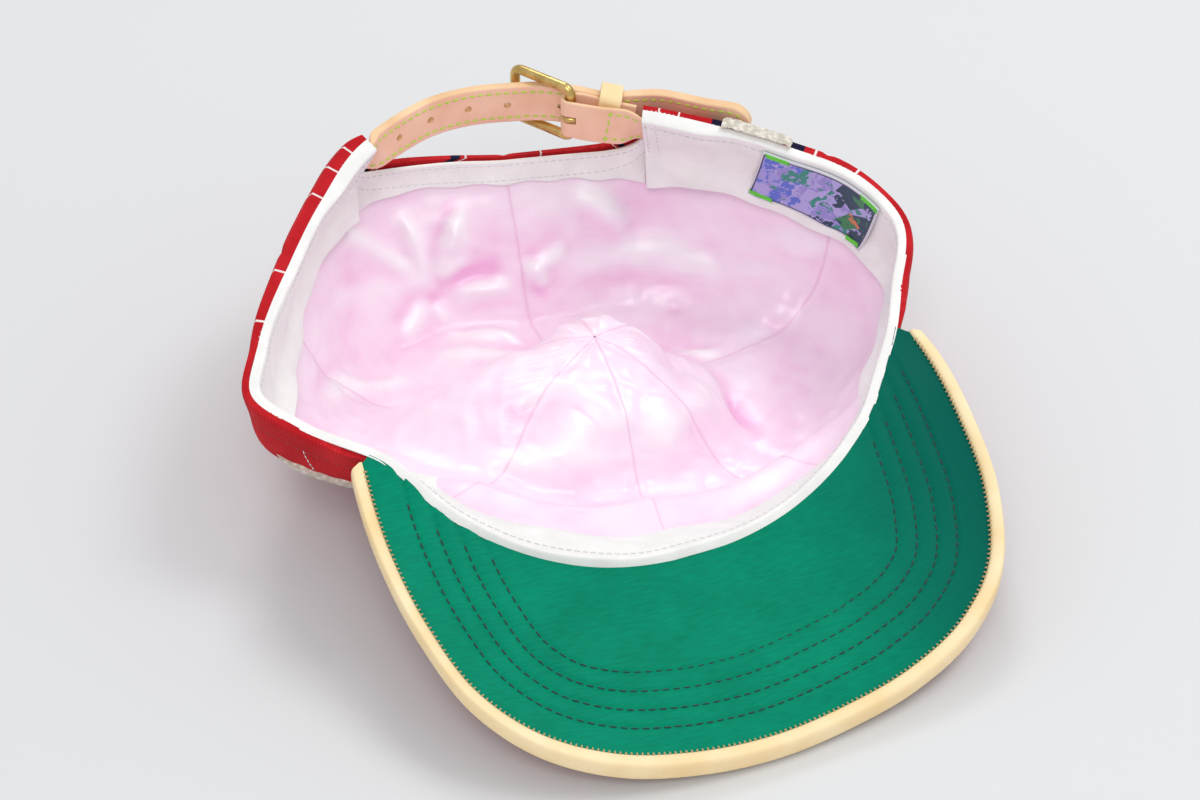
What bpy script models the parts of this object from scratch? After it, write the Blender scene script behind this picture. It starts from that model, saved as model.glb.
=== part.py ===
"""A six-panel cloth cap lying upside down on its slumped crown, brim forward.

The brim points along -Y, +Z is up and the floor is at zero. A place on the crown is
given by its turn, in degrees from the front towards +X, and by its distance in metres
down the cloth from the rim towards the button. All sizes are in metres.
"""

import functools
import math

import bmesh
import bpy
import numpy as np

# Head opening and the height of its rim as the cap lies
half_head_width = 0.1025
back_height = 0.080
crown_height = 0.060

# Button of the crown, pushed up and in by the front dent
button_right = 0.003
button_back = 0.011
button_height = 0.0345
button_radius = 0.0060
button_depth = 0.0035
button_stem_radius = 0.0016
button_hole = 0.0035
lining_hole = 0.0018
button_flat = 0.0080

# Cloth walls and the gaps that sewn pieces keep
shell_wall = 0.0014
hem_wall = 0.0024
hem_depth = 0.012
lining_wall = 0.0010
lining_start = 0.0015
band_wall = 0.0012
fit = 0.0003
slack = 0.0005
seam_gap = 0.0004
panel_puff = 0.0015

# Sweatband, and the facing of the arch at the back
band_depth = 0.030
facing_depth = 0.009
arch_depth = 0.028
arch_middle_turn = 180.0
arch_half_turn = 31.5
arch_squareness = 4.0

# Brim, of cloth-covered board with satin below and a leather edge
brim_half_turn = 70.0
brim_reach = half_head_width * 1.3317
brim_tip_height = 0.0056
board_wall = 0.0016
satin_wall = 0.0010
binding_wall = 0.0010
binding_lip = 0.0045
brim_dish = 0.0025
brim_start = 0.0024
satin_start = 0.0022

# Leather strap: a tongue from the left end of the arch, and the short buckle side
strap_width = 0.0130
strap_wall = 0.0032
strap_tab = 0.0055
strap_tab_wall = 0.0009
strap_pocket = 0.0018
strap_twist = 0.0080
tail_lean_share = 0.20
strap_below_rim = 0.0085
buckle_side_length = 0.0228
buckle_side_heading = 154.0
buckle_side_layer = 0.0014

# Brass buckle, its prong, and the leather keeper
wire_radius = 0.0014
buckle_length = 0.0216
buckle_heading = 123.7
buckle_corner = 0.0028
buckle_clearance = 0.0010
prong_radius = 0.0010
prong_overhang = 0.0022
keeper_share = 0.48
buckle_height_share = 0.8825
keeper_room = 0.0014
keeper_width = 0.0070
keeper_wall = 0.0013

# Woven label on the sweatband
label_width = 0.0430
label_height = 0.0240
label_wall = 0.0008
label_turn = 110.8
label_from_rim = 0.0020

# Mesh steps
white_steps = 3
cloth_steps = 10
panel_columns = 8
brim_columns = 30
brim_steps = 5

seam_turns = {
    "front_right": (-3.0, 43.0),
    "side_right": (43.0, 110.0),
    "back_right": (110.0, 180.0),
    "back_left": (180.0, 242.0),
    "side_left": (242.0, 302.0),
    "front_left": (302.0, 357.0),
}


def table(columns, rows):
    """A table's columns by name, each as an array."""
    return dict(zip(columns.split(), np.array(rows, float).T))


# The rim: reach as a share of half the head width, lift as a share of the back height
rim = table(
    "turn reach lift",
    (
        (0, 0.738, 0.300),
        (25, 0.760, 0.340),
        (48, 0.806, 0.452),
        (66, 0.845, 0.575),
        (80, 0.900, 0.645),
        (93, 0.985, 0.725),
        (104, 0.950, 0.793),
        (117, 0.850, 0.848),
        (133, 0.770, 0.900),
        (149, 0.735, 0.940),
        (180, 0.700, 1.000),
        (211, 0.862, 0.980),
        (229, 0.855, 0.913),
        (245, 0.883, 0.843),
        (262, 0.972, 0.757),
        (271, 1.025, 0.703),
        (279, 0.950, 0.657),
        (292, 0.812, 0.590),
        (309, 0.797, 0.470),
        (334, 0.765, 0.342),
    ),
)

# The crown wall below the rim, a row for each section around the cap. Reaches are
# shares of the rim's own reach there, lifts are shares of the crown height.
sections = table(
    "turn waist_reach waist_lift shoulder_reach shoulder_lift"
    " dip_reach dip_lift rise_reach rise_lift",
    (
        (0, 0.86, 0.30, 0.67, 0.165, 0.50, 0.13, 0.25, 0.47),
        (45, 0.93, 0.38, 0.78, 0.14, 0.62, 0.00, 0.30, 0.40),
        (90, 1.00, 0.55, 0.90, 0.15, 0.66, -0.03, 0.28, 0.28),
        (135, 1.12, 0.80, 1.06, 0.35, 0.80, -0.05, 0.30, 0.25),
        (180, 1.16, 0.93, 1.02, 0.50, 0.78, -0.03, 0.30, 0.25),
        (225, 1.10, 0.85, 1.02, 0.35, 0.76, -0.05, 0.32, 0.25),
        (270, 0.96, 0.60, 0.86, 0.48, 0.70, 0.35, 0.40, 0.53),
        (315, 0.90, 0.50, 0.74, 0.30, 0.55, 0.25, 0.28, 0.55),
    ),
)

# Main folds of the cloth: where each lies, how far it pushes in, and half its spread
folds = table(
    "turn from_rim push half_turn half_length lean",
    (
        (-3, 0.062, 0.0030, 16, 0.020, 0),
    ),
)


def spline(knots, values, at, period=None):
    """Values read off a smooth curve through the knots, round a loop if it has a period."""
    knots = np.asarray(knots, float)
    values = np.asarray(values, float)
    if period:
        knots = np.concatenate([knots[-2:] - period, knots, knots[:2] + period])
        values = np.concatenate([values[-2:], values, values[:2]])
    slopes = np.gradient(values, knots, axis=0)
    at = np.asarray(at, float)
    index = np.clip(np.searchsorted(knots, at, side="right") - 1, 0, len(knots) - 2)
    span = knots[index + 1] - knots[index]
    share = (at - knots[index]) / span
    if values.ndim > 1:
        span = span[..., None]
        share = share[..., None]
    start_weight = 2 * share**3 - 3 * share**2 + 1
    start_slope_weight = share**3 - 2 * share**2 + share
    end_weight = 3 * share**2 - 2 * share**3
    end_slope_weight = share**3 - share**2
    return (
        start_weight * values[index]
        + start_slope_weight * span * slopes[index]
        + end_weight * values[index + 1]
        + end_slope_weight * span * slopes[index + 1]
    )


def around(rows, column, turn):
    """A table's column read at any turn."""
    return float(spline(rows["turn"], rows[column], turn % 360, period=360))


def ease(share):
    """Zero to one with level ends."""
    share = min(max(share, 0.0), 1.0)
    return share * share * (3 - 2 * share)


def outward(turn):
    """Level direction from the middle of the cap at this turn."""
    angle = math.radians(turn)
    return np.array([math.sin(angle), -math.cos(angle), 0.0])


def settled(height):
    """Height above the floor of cloth that flattens where it rests."""
    blend = 0.004
    if height > blend:
        return height
    if height < -blend:
        return 0.0
    return (height + blend) ** 2 / (4 * blend)


@functools.lru_cache(maxsize=None)
def meridian(turn):
    """The bare wall's line at one turn, from rim to button, with the distance at each point."""
    rim_reach = half_head_width * around(rim, "reach", turn)
    levels = ("waist", "shoulder", "dip", "rise")
    reaches = [1.0] + [around(sections, level + "_reach", turn) for level in levels]
    reaches += [button_flat / rim_reach, 0.0]
    heights = [back_height * around(rim, "lift", turn)]
    heights += [crown_height * around(sections, level + "_lift", turn) for level in levels]
    heights += [button_height - 0.0004, button_height]
    button = np.array([button_right, button_back, 0.0])
    corners = []
    for reach, height in zip(reaches, heights):
        middle = button * (1 - min(reach, 1.0))
        corners.append(middle + outward(turn) * reach * rim_reach + np.array([0, 0, height]))
    corners = np.array(corners)
    steps = np.linalg.norm(np.diff(corners, axis=0), axis=1)
    knots = np.concatenate([[0.0], np.cumsum(steps)])
    points = spline(knots, corners, np.linspace(0, knots[-1], 61))
    for point in points:
        point[2] = shell_wall + settled(point[2] - shell_wall)
    run = np.concatenate([[0.0], np.cumsum(np.linalg.norm(np.diff(points, axis=0), axis=1))])
    return points, run


def cloth_length(turn, hole=button_hole):
    """Length of the wall from the rim to the edge of the hole under the button."""
    return meridian(round(turn % 360, 4))[1][-1] - hole


def wall_point(turn, distance):
    """Point of the shell's inner face."""
    points, run = meridian(round(turn % 360, 4))
    return np.array([np.interp(distance, run, points[:, axis]) for axis in range(3)])


def wall_normal(turn, distance):
    """Direction into the hollow, square to the wall, and straight up at the button."""
    left = cloth_length(turn, 0.0) - distance
    if left < 0.004:
        return np.array([0.0, 0.0, 1.0])
    turn_step = 1.5
    distance_step = 0.0015
    across = level_with(turn, distance, turn_step) - level_with(turn, distance, -turn_step)
    along = wall_point(turn, distance + distance_step) - wall_point(turn, distance - distance_step)
    normal = np.cross(across, along)
    normal /= np.linalg.norm(normal)
    share = ease((left - 0.004) / 0.006)
    normal = normal * share + np.array([0.0, 0.0, 1.0]) * (1 - share)
    return normal / np.linalg.norm(normal)


def distance_beside(turn, distance, aside):
    """Distance down a line beside this one of the place level with a point on this one."""
    beyond = max(distance - band_depth, 0.0)
    here = cloth_length(turn, 0.0) - band_depth
    there = cloth_length(turn + aside, 0.0) - band_depth
    return distance - beyond + beyond * there / here


def level_with(turn, distance, aside):
    """Point beside this one, as far along its own line from the sweatband to the button."""
    return wall_point(turn + aside, distance_beside(turn, distance, aside))


def push(turn, distance):
    """How far folds and the panels' own puff move the cloth, positive into the hollow."""
    moved = 0.0
    for index in range(len(folds["turn"])):
        away = (turn - folds["turn"][index] + 180) % 360 - 180
        down = distance - folds["from_rim"][index]
        away -= folds["lean"][index] * down / folds["half_length"][index]
        moved += folds["push"][index] * math.exp(
            -((away / folds["half_turn"][index]) ** 2)
            - (down / folds["half_length"][index]) ** 2
        )
    for first, last in seam_turns.values():
        share = ((turn - first) % 360) / (last - first)
        if 0 < share < 1:
            length = cloth_length(turn)
            moved -= panel_puff * math.sin(math.pi * share) * math.sin(
                math.pi * min(max(distance / length, 0), 1)
            )
    return moved


def cloth_point(turn, distance, inwards):
    """Point at a height above the shell's inner face, and never below the floor."""
    normal = wall_normal(turn, distance)
    point = wall_point(turn, distance) + normal * (inwards + push(turn, distance))
    lowest = shell_wall + inwards
    if point[2] < lowest + 0.00002:
        point[2] = lowest
    return point


def arch_cut(turn):
    """How far the edge of the back arch lies below the rim."""
    away = abs((turn - arch_middle_turn + 180) % 360 - 180) / arch_half_turn
    if away >= 1:
        return 0.0
    return arch_depth * (1 - away**arch_squareness) ** (1 / arch_squareness)


def white_end(turn):
    """Distance from the rim to the inner edge of the sweatband or of the arch's facing."""
    away = abs((turn - arch_middle_turn + 180) % 360 - 180) - arch_half_turn
    near = 1 - ease(away / 15)
    return band_depth + (arch_depth + facing_depth - band_depth) * near


def row_distances(turn, start):
    """Distances of the mesh rows down one column of cloth."""
    white = np.linspace(arch_cut(turn), white_end(turn), white_steps + 1)
    white[0] += start
    cloth = np.linspace(white_end(turn), cloth_length(turn), cloth_steps + 1)
    return np.concatenate([white, cloth[1:]])


def arch_turns():
    """Columns that draw the corners of the arch."""
    shares = (1.04, 1.0, 0.985, 0.94, 0.86, 0.7)
    turns = [arch_middle_turn + arch_half_turn * share for share in shares]
    return turns + [2 * arch_middle_turn - turn for turn in turns]


def panel_turns(first, last):
    """Columns of one panel, from seam to seam."""
    corners = [corner for corner in arch_turns() if first < corner < last]
    even = np.linspace(first, last, panel_columns + 1)
    clear = [turn for turn in even[1:-1] if all(abs(turn - corner) > 2.5 for corner in corners)]
    return sorted([first, *clear, *corners, last])


def material(name, colour, roughness, metallic=0.0):
    made = bpy.data.materials.new(name)
    made.use_nodes = True
    shader = made.node_tree.nodes["Principled BSDF"]
    shader.inputs["Base Color"].default_value = (*colour, 1.0)
    shader.inputs["Roughness"].default_value = roughness
    shader.inputs["Metallic"].default_value = metallic
    return made


def add_object(name, points, faces, finish):
    """A closed mesh, facing out, as an object with its material."""
    mesh = bpy.data.meshes.new(name)
    mesh.from_pydata([tuple(map(float, point)) for point in points], [], faces)
    made = bmesh.new()
    made.from_mesh(mesh)
    bmesh.ops.recalc_face_normals(made, faces=made.faces)
    if made.calc_volume(signed=True) < 0:
        bmesh.ops.reverse_faces(made, faces=made.faces)
    made.to_mesh(mesh)
    made.free()
    mesh.shade_smooth()
    mesh.set_sharp_from_angle(angle=math.radians(40))
    mesh.materials.append(finish)
    made = bpy.data.objects.new(name, mesh)
    bpy.context.collection.objects.link(made)
    return made


def add_sheet(name, outer, inner, finish):
    """A thin solid between two grids of points that have the same rows and columns."""
    columns, rows = len(outer), len(outer[0])
    points = [point for column in outer for point in column]
    points += [point for column in inner for point in column]
    back = columns * rows

    def at(column, row, side):
        return column * rows + row + side * back

    faces = []
    for side in (0, 1):
        for column in range(columns - 1):
            for row in range(rows - 1):
                corners = [
                    at(column, row, side),
                    at(column + 1, row, side),
                    at(column + 1, row + 1, side),
                    at(column, row + 1, side),
                ]
                if side:
                    corners = [corners[0], corners[3], corners[2], corners[1]]
                    faces += [tuple(corners[:3]), (corners[0], corners[2], corners[3])]
                else:
                    faces += [tuple(corners[:3]), (corners[0], corners[2], corners[3])]
    for column in range(columns - 1):
        for row in (0, rows - 1):
            edge = [at(column, row, 0), at(column + 1, row, 0)]
            faces.append((*edge, at(column + 1, row, 1), at(column, row, 1)))
    for row in range(rows - 1):
        for column in (0, columns - 1):
            edge = [at(column, row, 0), at(column, row + 1, 0)]
            faces.append((*edge, at(column, row + 1, 1), at(column, row, 1)))
    return add_object(name, points, faces, finish)


def hem(distance, turn):
    """Wall of the shell: thicker in its hem, except where the brim is sewn on."""
    away = abs((turn + 180) % 360 - 180)
    free = ease((away - brim_half_turn) / 6)
    below = max(distance - arch_cut(turn), 0.0)
    return shell_wall + (hem_wall - shell_wall) * free * (1 - ease(below / hem_depth))


def add_panel(name, first, last, finish):
    """One panel of the shell."""
    outer, inner = [], []
    turns = panel_turns(first, last)
    for turn in turns:
        outer_column, inner_column = [], []
        for distance in row_distances(turn, rim_drop(turn)):
            place = seam_side(turn, distance, first, last)
            outer_column.append(cloth_point(*place, -hem(distance, turn)))
            inner_column.append(cloth_point(*place, 0.0))
        outer.append(outer_column)
        inner.append(inner_column)
    add_sheet(name, outer, inner, finish)


def rim_drop(turn):
    """How far the shell's edge stays below the rim, to pass under the satin of the brim."""
    away = abs((turn + 180) % 360 - 180)
    return (satin_wall + fit) * (1 - ease((away - brim_half_turn - 3) / 5))


def seam_side(turn, distance, first, last):
    """Turn and distance of a panel's point, drawn back from a seam by half the seam's gap."""
    radius = max(np.linalg.norm(wall_point(turn, distance)[:2] - button_place()[:2]), 0.003)
    back = math.degrees(seam_gap / 2 / radius)
    aside = back * (int(turn <= first) - int(turn >= last))
    return turn + aside, distance_beside(turn, distance, aside)


def button_place():
    return np.array([button_right, button_back, button_height])


def add_lining_gore(name, first, last, finish):
    """One gore of the satin lining, a gap inside the shell panel that it backs."""
    outer, inner = [], []
    for turn in panel_turns(first, last):
        outer_column, inner_column = [], []
        to_button = [cloth_length(turn, lining_hole)]
        for distance in [*row_distances(turn, lining_start), *to_button]:
            place = seam_side(turn, distance, first, last)
            outer_column.append(cloth_point(*place, fit))
            inner_column.append(cloth_point(*place, fit + lining_wall))
        outer.append(outer_column)
        inner.append(inner_column)
    add_sheet(name, outer, inner, finish)


def band_turns():
    """Columns of the sweatband, from the right end of the arch round the front to the left end."""
    turns = set()
    for first, last in seam_turns.values():
        turns |= set(panel_turns(first, last))
    right_end = arch_middle_turn - arch_half_turn
    kept = [turn for turn in turns if turn <= right_end + 0.001]
    kept += [turn - 360 for turn in turns if turn >= arch_middle_turn + arch_half_turn - 0.001]
    return sorted({round(turn, 6) for turn in kept if turn > -180})


def stand_off(turn):
    """Gap from the shell to the sweatband, with room for a strap's tab at the arch's ends."""
    away = arch_middle_turn - arch_half_turn - abs(turn)
    return fit + lining_wall + fit + strap_pocket * (1 - ease((away - 12) / 10))


def band_cell(turn, distance, inwards):
    """Point held off the sweatband's line, on the facets between its columns and rows."""
    columns = band_turns()
    after = min(max(int(np.searchsorted(columns, turn)), 1), len(columns) - 1)
    ends = []
    for column in (columns[after - 1], columns[after]):
        rows = np.linspace(0.0, white_end(column), white_steps + 1)
        points = np.array([cloth_point(column, row, inwards) for row in rows])
        ends.append(np.array([np.interp(distance, rows, points[:, axis]) for axis in range(3)]))
    share = (turn - columns[after - 1]) / (columns[after] - columns[after - 1])
    return ends[0] + (ends[1] - ends[0]) * share


def add_sweatband(finish):
    """The folded cotton band inside the rim."""
    outer, inner = [], []
    for turn in band_turns():
        distances = np.linspace(0.0, white_end(turn), white_steps + 1)
        off = stand_off(turn)
        outer.append([cloth_point(turn, distance, off) for distance in distances])
        inner.append([cloth_point(turn, distance, off + band_wall) for distance in distances])
    add_sheet("sweatband", outer, inner, finish)


def add_arch_facing(finish):
    """The cotton strip that faces the arch, between the two ends of the sweatband."""
    end_gap = math.degrees(2 * slack / half_head_width)
    turns = [
        turn
        for turn in sorted(set(panel_turns(110.0, 180.0)) | set(panel_turns(180.0, 242.0)))
        if abs(turn - arch_middle_turn) < arch_half_turn - end_gap - 0.3
    ]
    edge = arch_half_turn - end_gap
    turns = [arch_middle_turn - edge] + turns + [arch_middle_turn + edge]
    outer, inner = [], []
    for turn in turns:
        first = max(arch_cut(turn), strap_below_rim + strap_width / 2 + 2 * fit)
        distances = np.linspace(first, white_end(turn), white_steps + 1)
        off = fit + lining_wall + slack + fit
        outer.append([cloth_point(turn, distance, off) for distance in distances])
        inner.append([cloth_point(turn, distance, off + band_wall) for distance in distances])
    add_sheet("arch_facing", outer, inner, finish)


# The brim's outer edge: reach as a share of the brim's reach, lift as a share of the
# rim's height where the brim starts
brim_edge = table(
    "turn reach lift",
    (
        (-80, 0.615, 1.00),
        (-75, 0.640, 0.97),
        (-65, 0.700, 0.88),
        (-55, 0.775, 0.74),
        (-45, 0.862, 0.55),
        (-36, 0.945, 0.36),
        (-28, 0.990, 0.22),
        (-19, 1.005, 0.10),
        (-10, 1.000, 0.03),
        (0, 0.995, 0.00),
        (10, 0.993, 0.02),
        (19, 1.003, 0.08),
        (28, 1.010, 0.20),
        (36, 0.990, 0.34),
        (45, 0.920, 0.53),
        (55, 0.825, 0.72),
        (65, 0.745, 0.87),
        (75, 0.668, 0.97),
        (80, 0.640, 1.00),
    ),
)


def brim_edge_point(turn):
    reach = brim_reach * float(spline(brim_edge["turn"], brim_edge["reach"], turn))
    lift = float(spline(brim_edge["turn"], brim_edge["lift"], turn))
    root = back_height * around(rim, "lift", brim_half_turn)
    height = brim_tip_height + (root - brim_tip_height) * lift
    return outward(turn) * reach + np.array([0, 0, height])


def brim_point(turn, share, below, inset=0.0, start=0.0):
    """Point of the brim, from rim to edge, at a depth below its satin face."""
    rim_at = wall_point(turn, 0.0)
    edge = brim_edge_point(turn)
    run = edge - rim_at
    length = np.linalg.norm(run)
    along = start + (length - inset - start) * share
    point = rim_at + run * along / length
    dish = brim_dish * min(length / 0.05, 1.0)
    point[2] -= dish * math.sin(math.pi * min(along / length, 1.0))
    return point - np.array([0, 0, below])


def brim_turns():
    return np.linspace(-brim_half_turn, brim_half_turn, brim_columns + 1)


def add_brim_sheet(name, top, bottom, start, finish):
    inset = binding_wall + slack
    upper, lower = [], []
    for turn in brim_turns():
        shares = np.linspace(0, 1, brim_steps + 1)
        upper.append([brim_point(turn, share, top, inset, start) for share in shares])
        lower.append([brim_point(turn, share, bottom, inset, start) for share in shares])
    add_sheet(name, upper, lower, finish)


def add_binding(finish):
    """The leather edge of the brim, folded over satin and board."""
    top = slack + binding_wall
    bottom = -(satin_wall + fit + board_wall + slack + binding_wall)
    stations = []
    for turn in brim_turns():
        run = np.linalg.norm(brim_edge_point(turn) - wall_point(turn, 0.0))
        lip = min(binding_lip, run - brim_start)
        profile = (
            (lip, top),
            (binding_wall, top),
            (0.0, slack),
            (0.0, bottom + binding_wall),
            (binding_wall, bottom),
            (lip, bottom),
            (lip, bottom + binding_wall),
            (binding_wall, bottom + binding_wall),
            (binding_wall, slack),
            (lip, slack),
        )
        stations.append([brim_point(turn, 1.0, -up, inset) for inset, up in profile])
    add_sweep("brim_binding", stations, finish)


def add_sweep(name, stations, finish, closed=False):
    """A solid through a row of outlines with the same number of points."""
    count = len(stations[0])
    points = [point for station in stations for point in station]
    faces = []
    for index in range(len(stations) if closed else len(stations) - 1):
        here = index * count
        there = (index + 1) % len(stations) * count
        for corner in range(count):
            after = (corner + 1) % count
            faces.append((here + corner, here + after, there + after, there + corner))
    if not closed:
        faces.append(tuple(range(count)))
        faces.append(tuple(range(len(points) - count, len(points))))
    return add_object(name, points, faces, finish)


def plan(heading):
    """Level direction at an angle from +X towards +Y."""
    angle = math.radians(heading)
    return np.array([math.cos(angle), math.sin(angle), 0.0])


up = np.array([0.0, 0.0, 1.0])


def tab_stations(side, reverse):
    """Outlines of a strap's tab, sewn in between lining and sweatband; side 1 is the right."""
    end = arch_middle_turn - arch_half_turn
    tab_turn = math.degrees(strap_tab / np.linalg.norm(cloth_point(end, strap_below_rim, 0)[:2]))
    top = strap_below_rim - strap_width / 2
    bottom = strap_below_rim + strap_width / 2
    near = fit + lining_wall + fit + (strap_pocket - strap_tab_wall) / 2
    far = near + strap_tab_wall
    stations = []
    for turn in (end - tab_turn, end - tab_turn / 2, end):
        outline = [(top, far), (top, near), (bottom, near), (bottom, far)]
        if reverse:
            outline = [(top, near), (top, far), (bottom, far), (bottom, near)]
        stations.append([band_cell(side * turn, down, off) for down, off in outline])
    return stations


def strap_seat(side):
    """Middle of a tab at the end of the arch."""
    return np.mean(tab_stations(side, False)[-1], axis=0)


def heel_bar():
    """Middle of the buckle's bar that the short side of the strap is folded round."""
    place = strap_seat(1) + plan(buckle_side_heading) * buckle_side_length
    place[2] = back_height * buckle_height_share
    return place


def side_out():
    """Level direction out of the back of the cap, square to the strap's buckle side."""
    return plan(buckle_side_heading - 90)


def fold_radius():
    return wire_radius + slack + buckle_side_layer / 2


def tongue_offset():
    """From the buckle side's middle line out to the middle of the tongue beside it."""
    hook = wire_radius + fit + 2 * prong_radius
    return hook + slack + strap_wall / 2


def strap_from(side, reverse, points, wall, count):
    """Outlines of a strap from its tab along a line through the given points."""
    stations = tab_stations(side, reverse)
    tab_across = np.mean(stations[-1][:2], axis=0) - np.mean(stations[-1][2:], axis=0)
    tab_across /= np.linalg.norm(tab_across)
    course = course_through([np.mean(station, axis=0) for station in stations] + points, count)
    run = np.concatenate([[0.0], np.cumsum(np.linalg.norm(np.diff(course, axis=0), axis=1))])
    for index, point in enumerate(course):
        free = run[index] - strap_tab
        if free < 0.0012:
            continue
        along = course[min(index + 1, len(course) - 1)] - course[index - 1]
        along /= np.linalg.norm(along)
        across = tab_across + (up - tab_across) * ease(free / strap_twist)
        if side < 0:
            beyond = (keeper_place() - point) @ plan(buckle_side_heading) - keeper_width / 2
            across = across - side_out() * tail_lean_share * ease(beyond / 0.010)
        across -= along * (across @ along)
        across /= np.linalg.norm(across)
        thickness = strap_tab_wall + (wall - strap_tab_wall) * ease((free - 0.0015) / 0.004)
        thick = np.cross(along, across) * thickness / 2
        edge = across * strap_width / 2
        top, bottom = point + edge, point - edge
        stations.append([top + thick, top - thick, bottom - thick, bottom + thick])
    return stations


def course_through(points, count):
    """Evenly spaced points of a smooth line through the given ones."""
    points = np.array(points)
    knots = np.concatenate([[0.0], np.cumsum(np.linalg.norm(np.diff(points, axis=0), axis=1))])
    return spline(knots, points, np.linspace(0, knots[-1], count))


# The free tongue: shares of half the head width to the right and back, of the back height up
tongue_bow = table(
    "right back lift",
    (
        (-0.330, 0.822, 0.890),
        (-0.215, 0.866, 0.898),
        (-0.088, 0.876, 0.900),
        (0.039, 0.858, 0.895),
        (0.128, 0.838, 0.889),
    ),
)
tail_bow = table(
    "right back lift",
    (
        (0.456, 0.711, 0.865),
        (0.592, 0.607, 0.862),
        (0.700, 0.530, 0.862),
    ),
)


def bow_points(rows):
    shares = zip(rows["right"], rows["back"], rows["lift"])
    return [
        np.array([half_head_width * right, half_head_width * back, back_height * lift])
        for right, back, lift in shares
    ]


def add_tongue(finish):
    """The long side of the strap, from its tab through buckle and keeper to its tail."""
    points = bow_points(tongue_bow)
    points.append(heel_bar() + side_out() * tongue_offset())
    points.append(keeper_place() + side_out() * tongue_offset())
    points += bow_points(tail_bow)
    tongue = add_sweep("strap_tongue", strap_from(-1, False, points, strap_wall, 44), finish)
    cut(tongue, add_wire("prong_hole_cutter", prong_rod(), prong_radius + fit, finish))


def beside_bar(share, off):
    """Place beside the line from the heel bar to the buckle side's tab."""
    return heel_bar() + (strap_seat(1) - heel_bar()) * share + side_out() * off


def keeper_place():
    return beside_bar(keeper_share, 0.0)


def add_buckle_side(finish):
    """The short side of the strap, folded round the heel bar."""
    bar = heel_bar()
    radius = fold_radius()
    points = [beside_bar(0.66, -0.0012), beside_bar(0.35, -radius * 0.92)]
    for step in range(7):
        angle = math.pi * step / 6
        along = plan(buckle_side_heading) * radius * math.sin(angle)
        points.append(bar - side_out() * radius * math.cos(angle) + along)
    points += [beside_bar(keeper_share, radius), beside_bar(0.84, radius - 0.0002)]
    stations = strap_from(1, True, points, buckle_side_layer, 50)
    side = add_sweep("strap_buckle_side", stations, finish)
    slot = wire_radius + fit + 2 * prong_radius + fit
    half_high = prong_radius + fit
    disc = [
        [bar + plan(angle) * slot + up * height for angle in range(0, 360, 20)]
        for height in (-half_high, half_high)
    ]
    cut(side, add_sweep("prong_slot_cutter", disc, finish))


def cut(solid, cutter):
    """Take the cutter out of the solid."""
    cutter.hide_render = True
    cutter.display_type = "WIRE"
    modifier = solid.modifiers.new("cut", "BOOLEAN")
    modifier.operation = "DIFFERENCE"
    modifier.object = cutter


def add_wire(name, course, radius, finish, closed=False, sides=8):
    """A round wire along a course."""
    stations = []
    for index, point in enumerate(course):
        if closed:
            along = course[(index + 1) % len(course)] - course[index - 1]
        else:
            along = course[min(index + 1, len(course) - 1)] - course[max(index - 1, 0)]
        along = along / np.linalg.norm(along)
        level = np.cross(buckle_face(), along)
        level /= np.linalg.norm(level)
        other = buckle_face() if closed else np.cross(along, level)
        stations.append([
            point + radius * (level * math.cos(angle) + other * math.sin(angle))
            for angle in np.linspace(0, 2 * math.pi, sides, endpoint=False)
        ])
    return add_sweep(name, stations, finish, closed)


def buckle_face():
    """Direction square to the buckle's frame, out of the cap."""
    return plan(buckle_heading - 90)


def frame_course():
    """Middle line of the frame's wire: a rounded rectangle round the straps."""
    half_long = buckle_length / 2
    half_high = strap_width / 2 + buckle_clearance + wire_radius
    middle = heel_bar() + plan(buckle_heading) * half_long + up * slack
    course = []
    for quarter, (sign_long, sign_high) in enumerate(((1, 1), (-1, 1), (-1, -1), (1, -1))):
        for step in range(4):
            angle = math.pi / 2 * (quarter + step / 3)
            long = sign_long * (half_long - buckle_corner) + buckle_corner * math.cos(angle)
            high = sign_high * (half_high - buckle_corner) + buckle_corner * math.sin(angle)
            course.append(middle + plan(buckle_heading) * long + up * high)
    return course


def prong_rod():
    """Straight part of the prong, from the heel bar to beyond the far bar."""
    beside = buckle_face() * (wire_radius + fit + prong_radius)
    start = heel_bar() + beside
    reach = buckle_length + prong_overhang
    return [start + plan(buckle_heading) * reach * share for share in (0.0, 0.33, 0.66, 1.0)]


def add_prong(finish):
    """Bent wire, hooked round the heel bar."""
    radius = wire_radius + fit + prong_radius
    hook = []
    for step in range(7):
        angle = math.pi * (step / 7 - 1)
        hook.append(heel_bar() + radius * (buckle_face() * math.cos(angle)
                                           - plan(buckle_heading) * math.sin(-angle)))
    add_wire("buckle_prong", hook + prong_rod(), prong_radius, finish)


def add_keeper(finish):
    """The leather loop round the tongue and the outer layer of the buckle side."""
    along = heel_bar() - strap_seat(1)
    along /= np.linalg.norm(along)
    level = up - along * (up @ along)
    level /= np.linalg.norm(level)
    near = fold_radius() - buckle_side_layer / 2 - slack
    far = tongue_offset() + strap_wall / 2 + keeper_room
    half_high = strap_width / 2 + 2 * slack
    stations = []
    for side, rise in ((-1, -1), (1, -1), (1, 1), (-1, 1)):
        off = near if side < 0 else far
        inner = keeper_place() + side_out() * off + level * rise * half_high
        outer = inner + side_out() * side * keeper_wall + level * rise * keeper_wall
        half = along * keeper_width / 2
        stations.append([inner - half, outer - half, outer + half, inner + half])
    add_sweep("keeper", stations, finish, closed=True)


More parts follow.
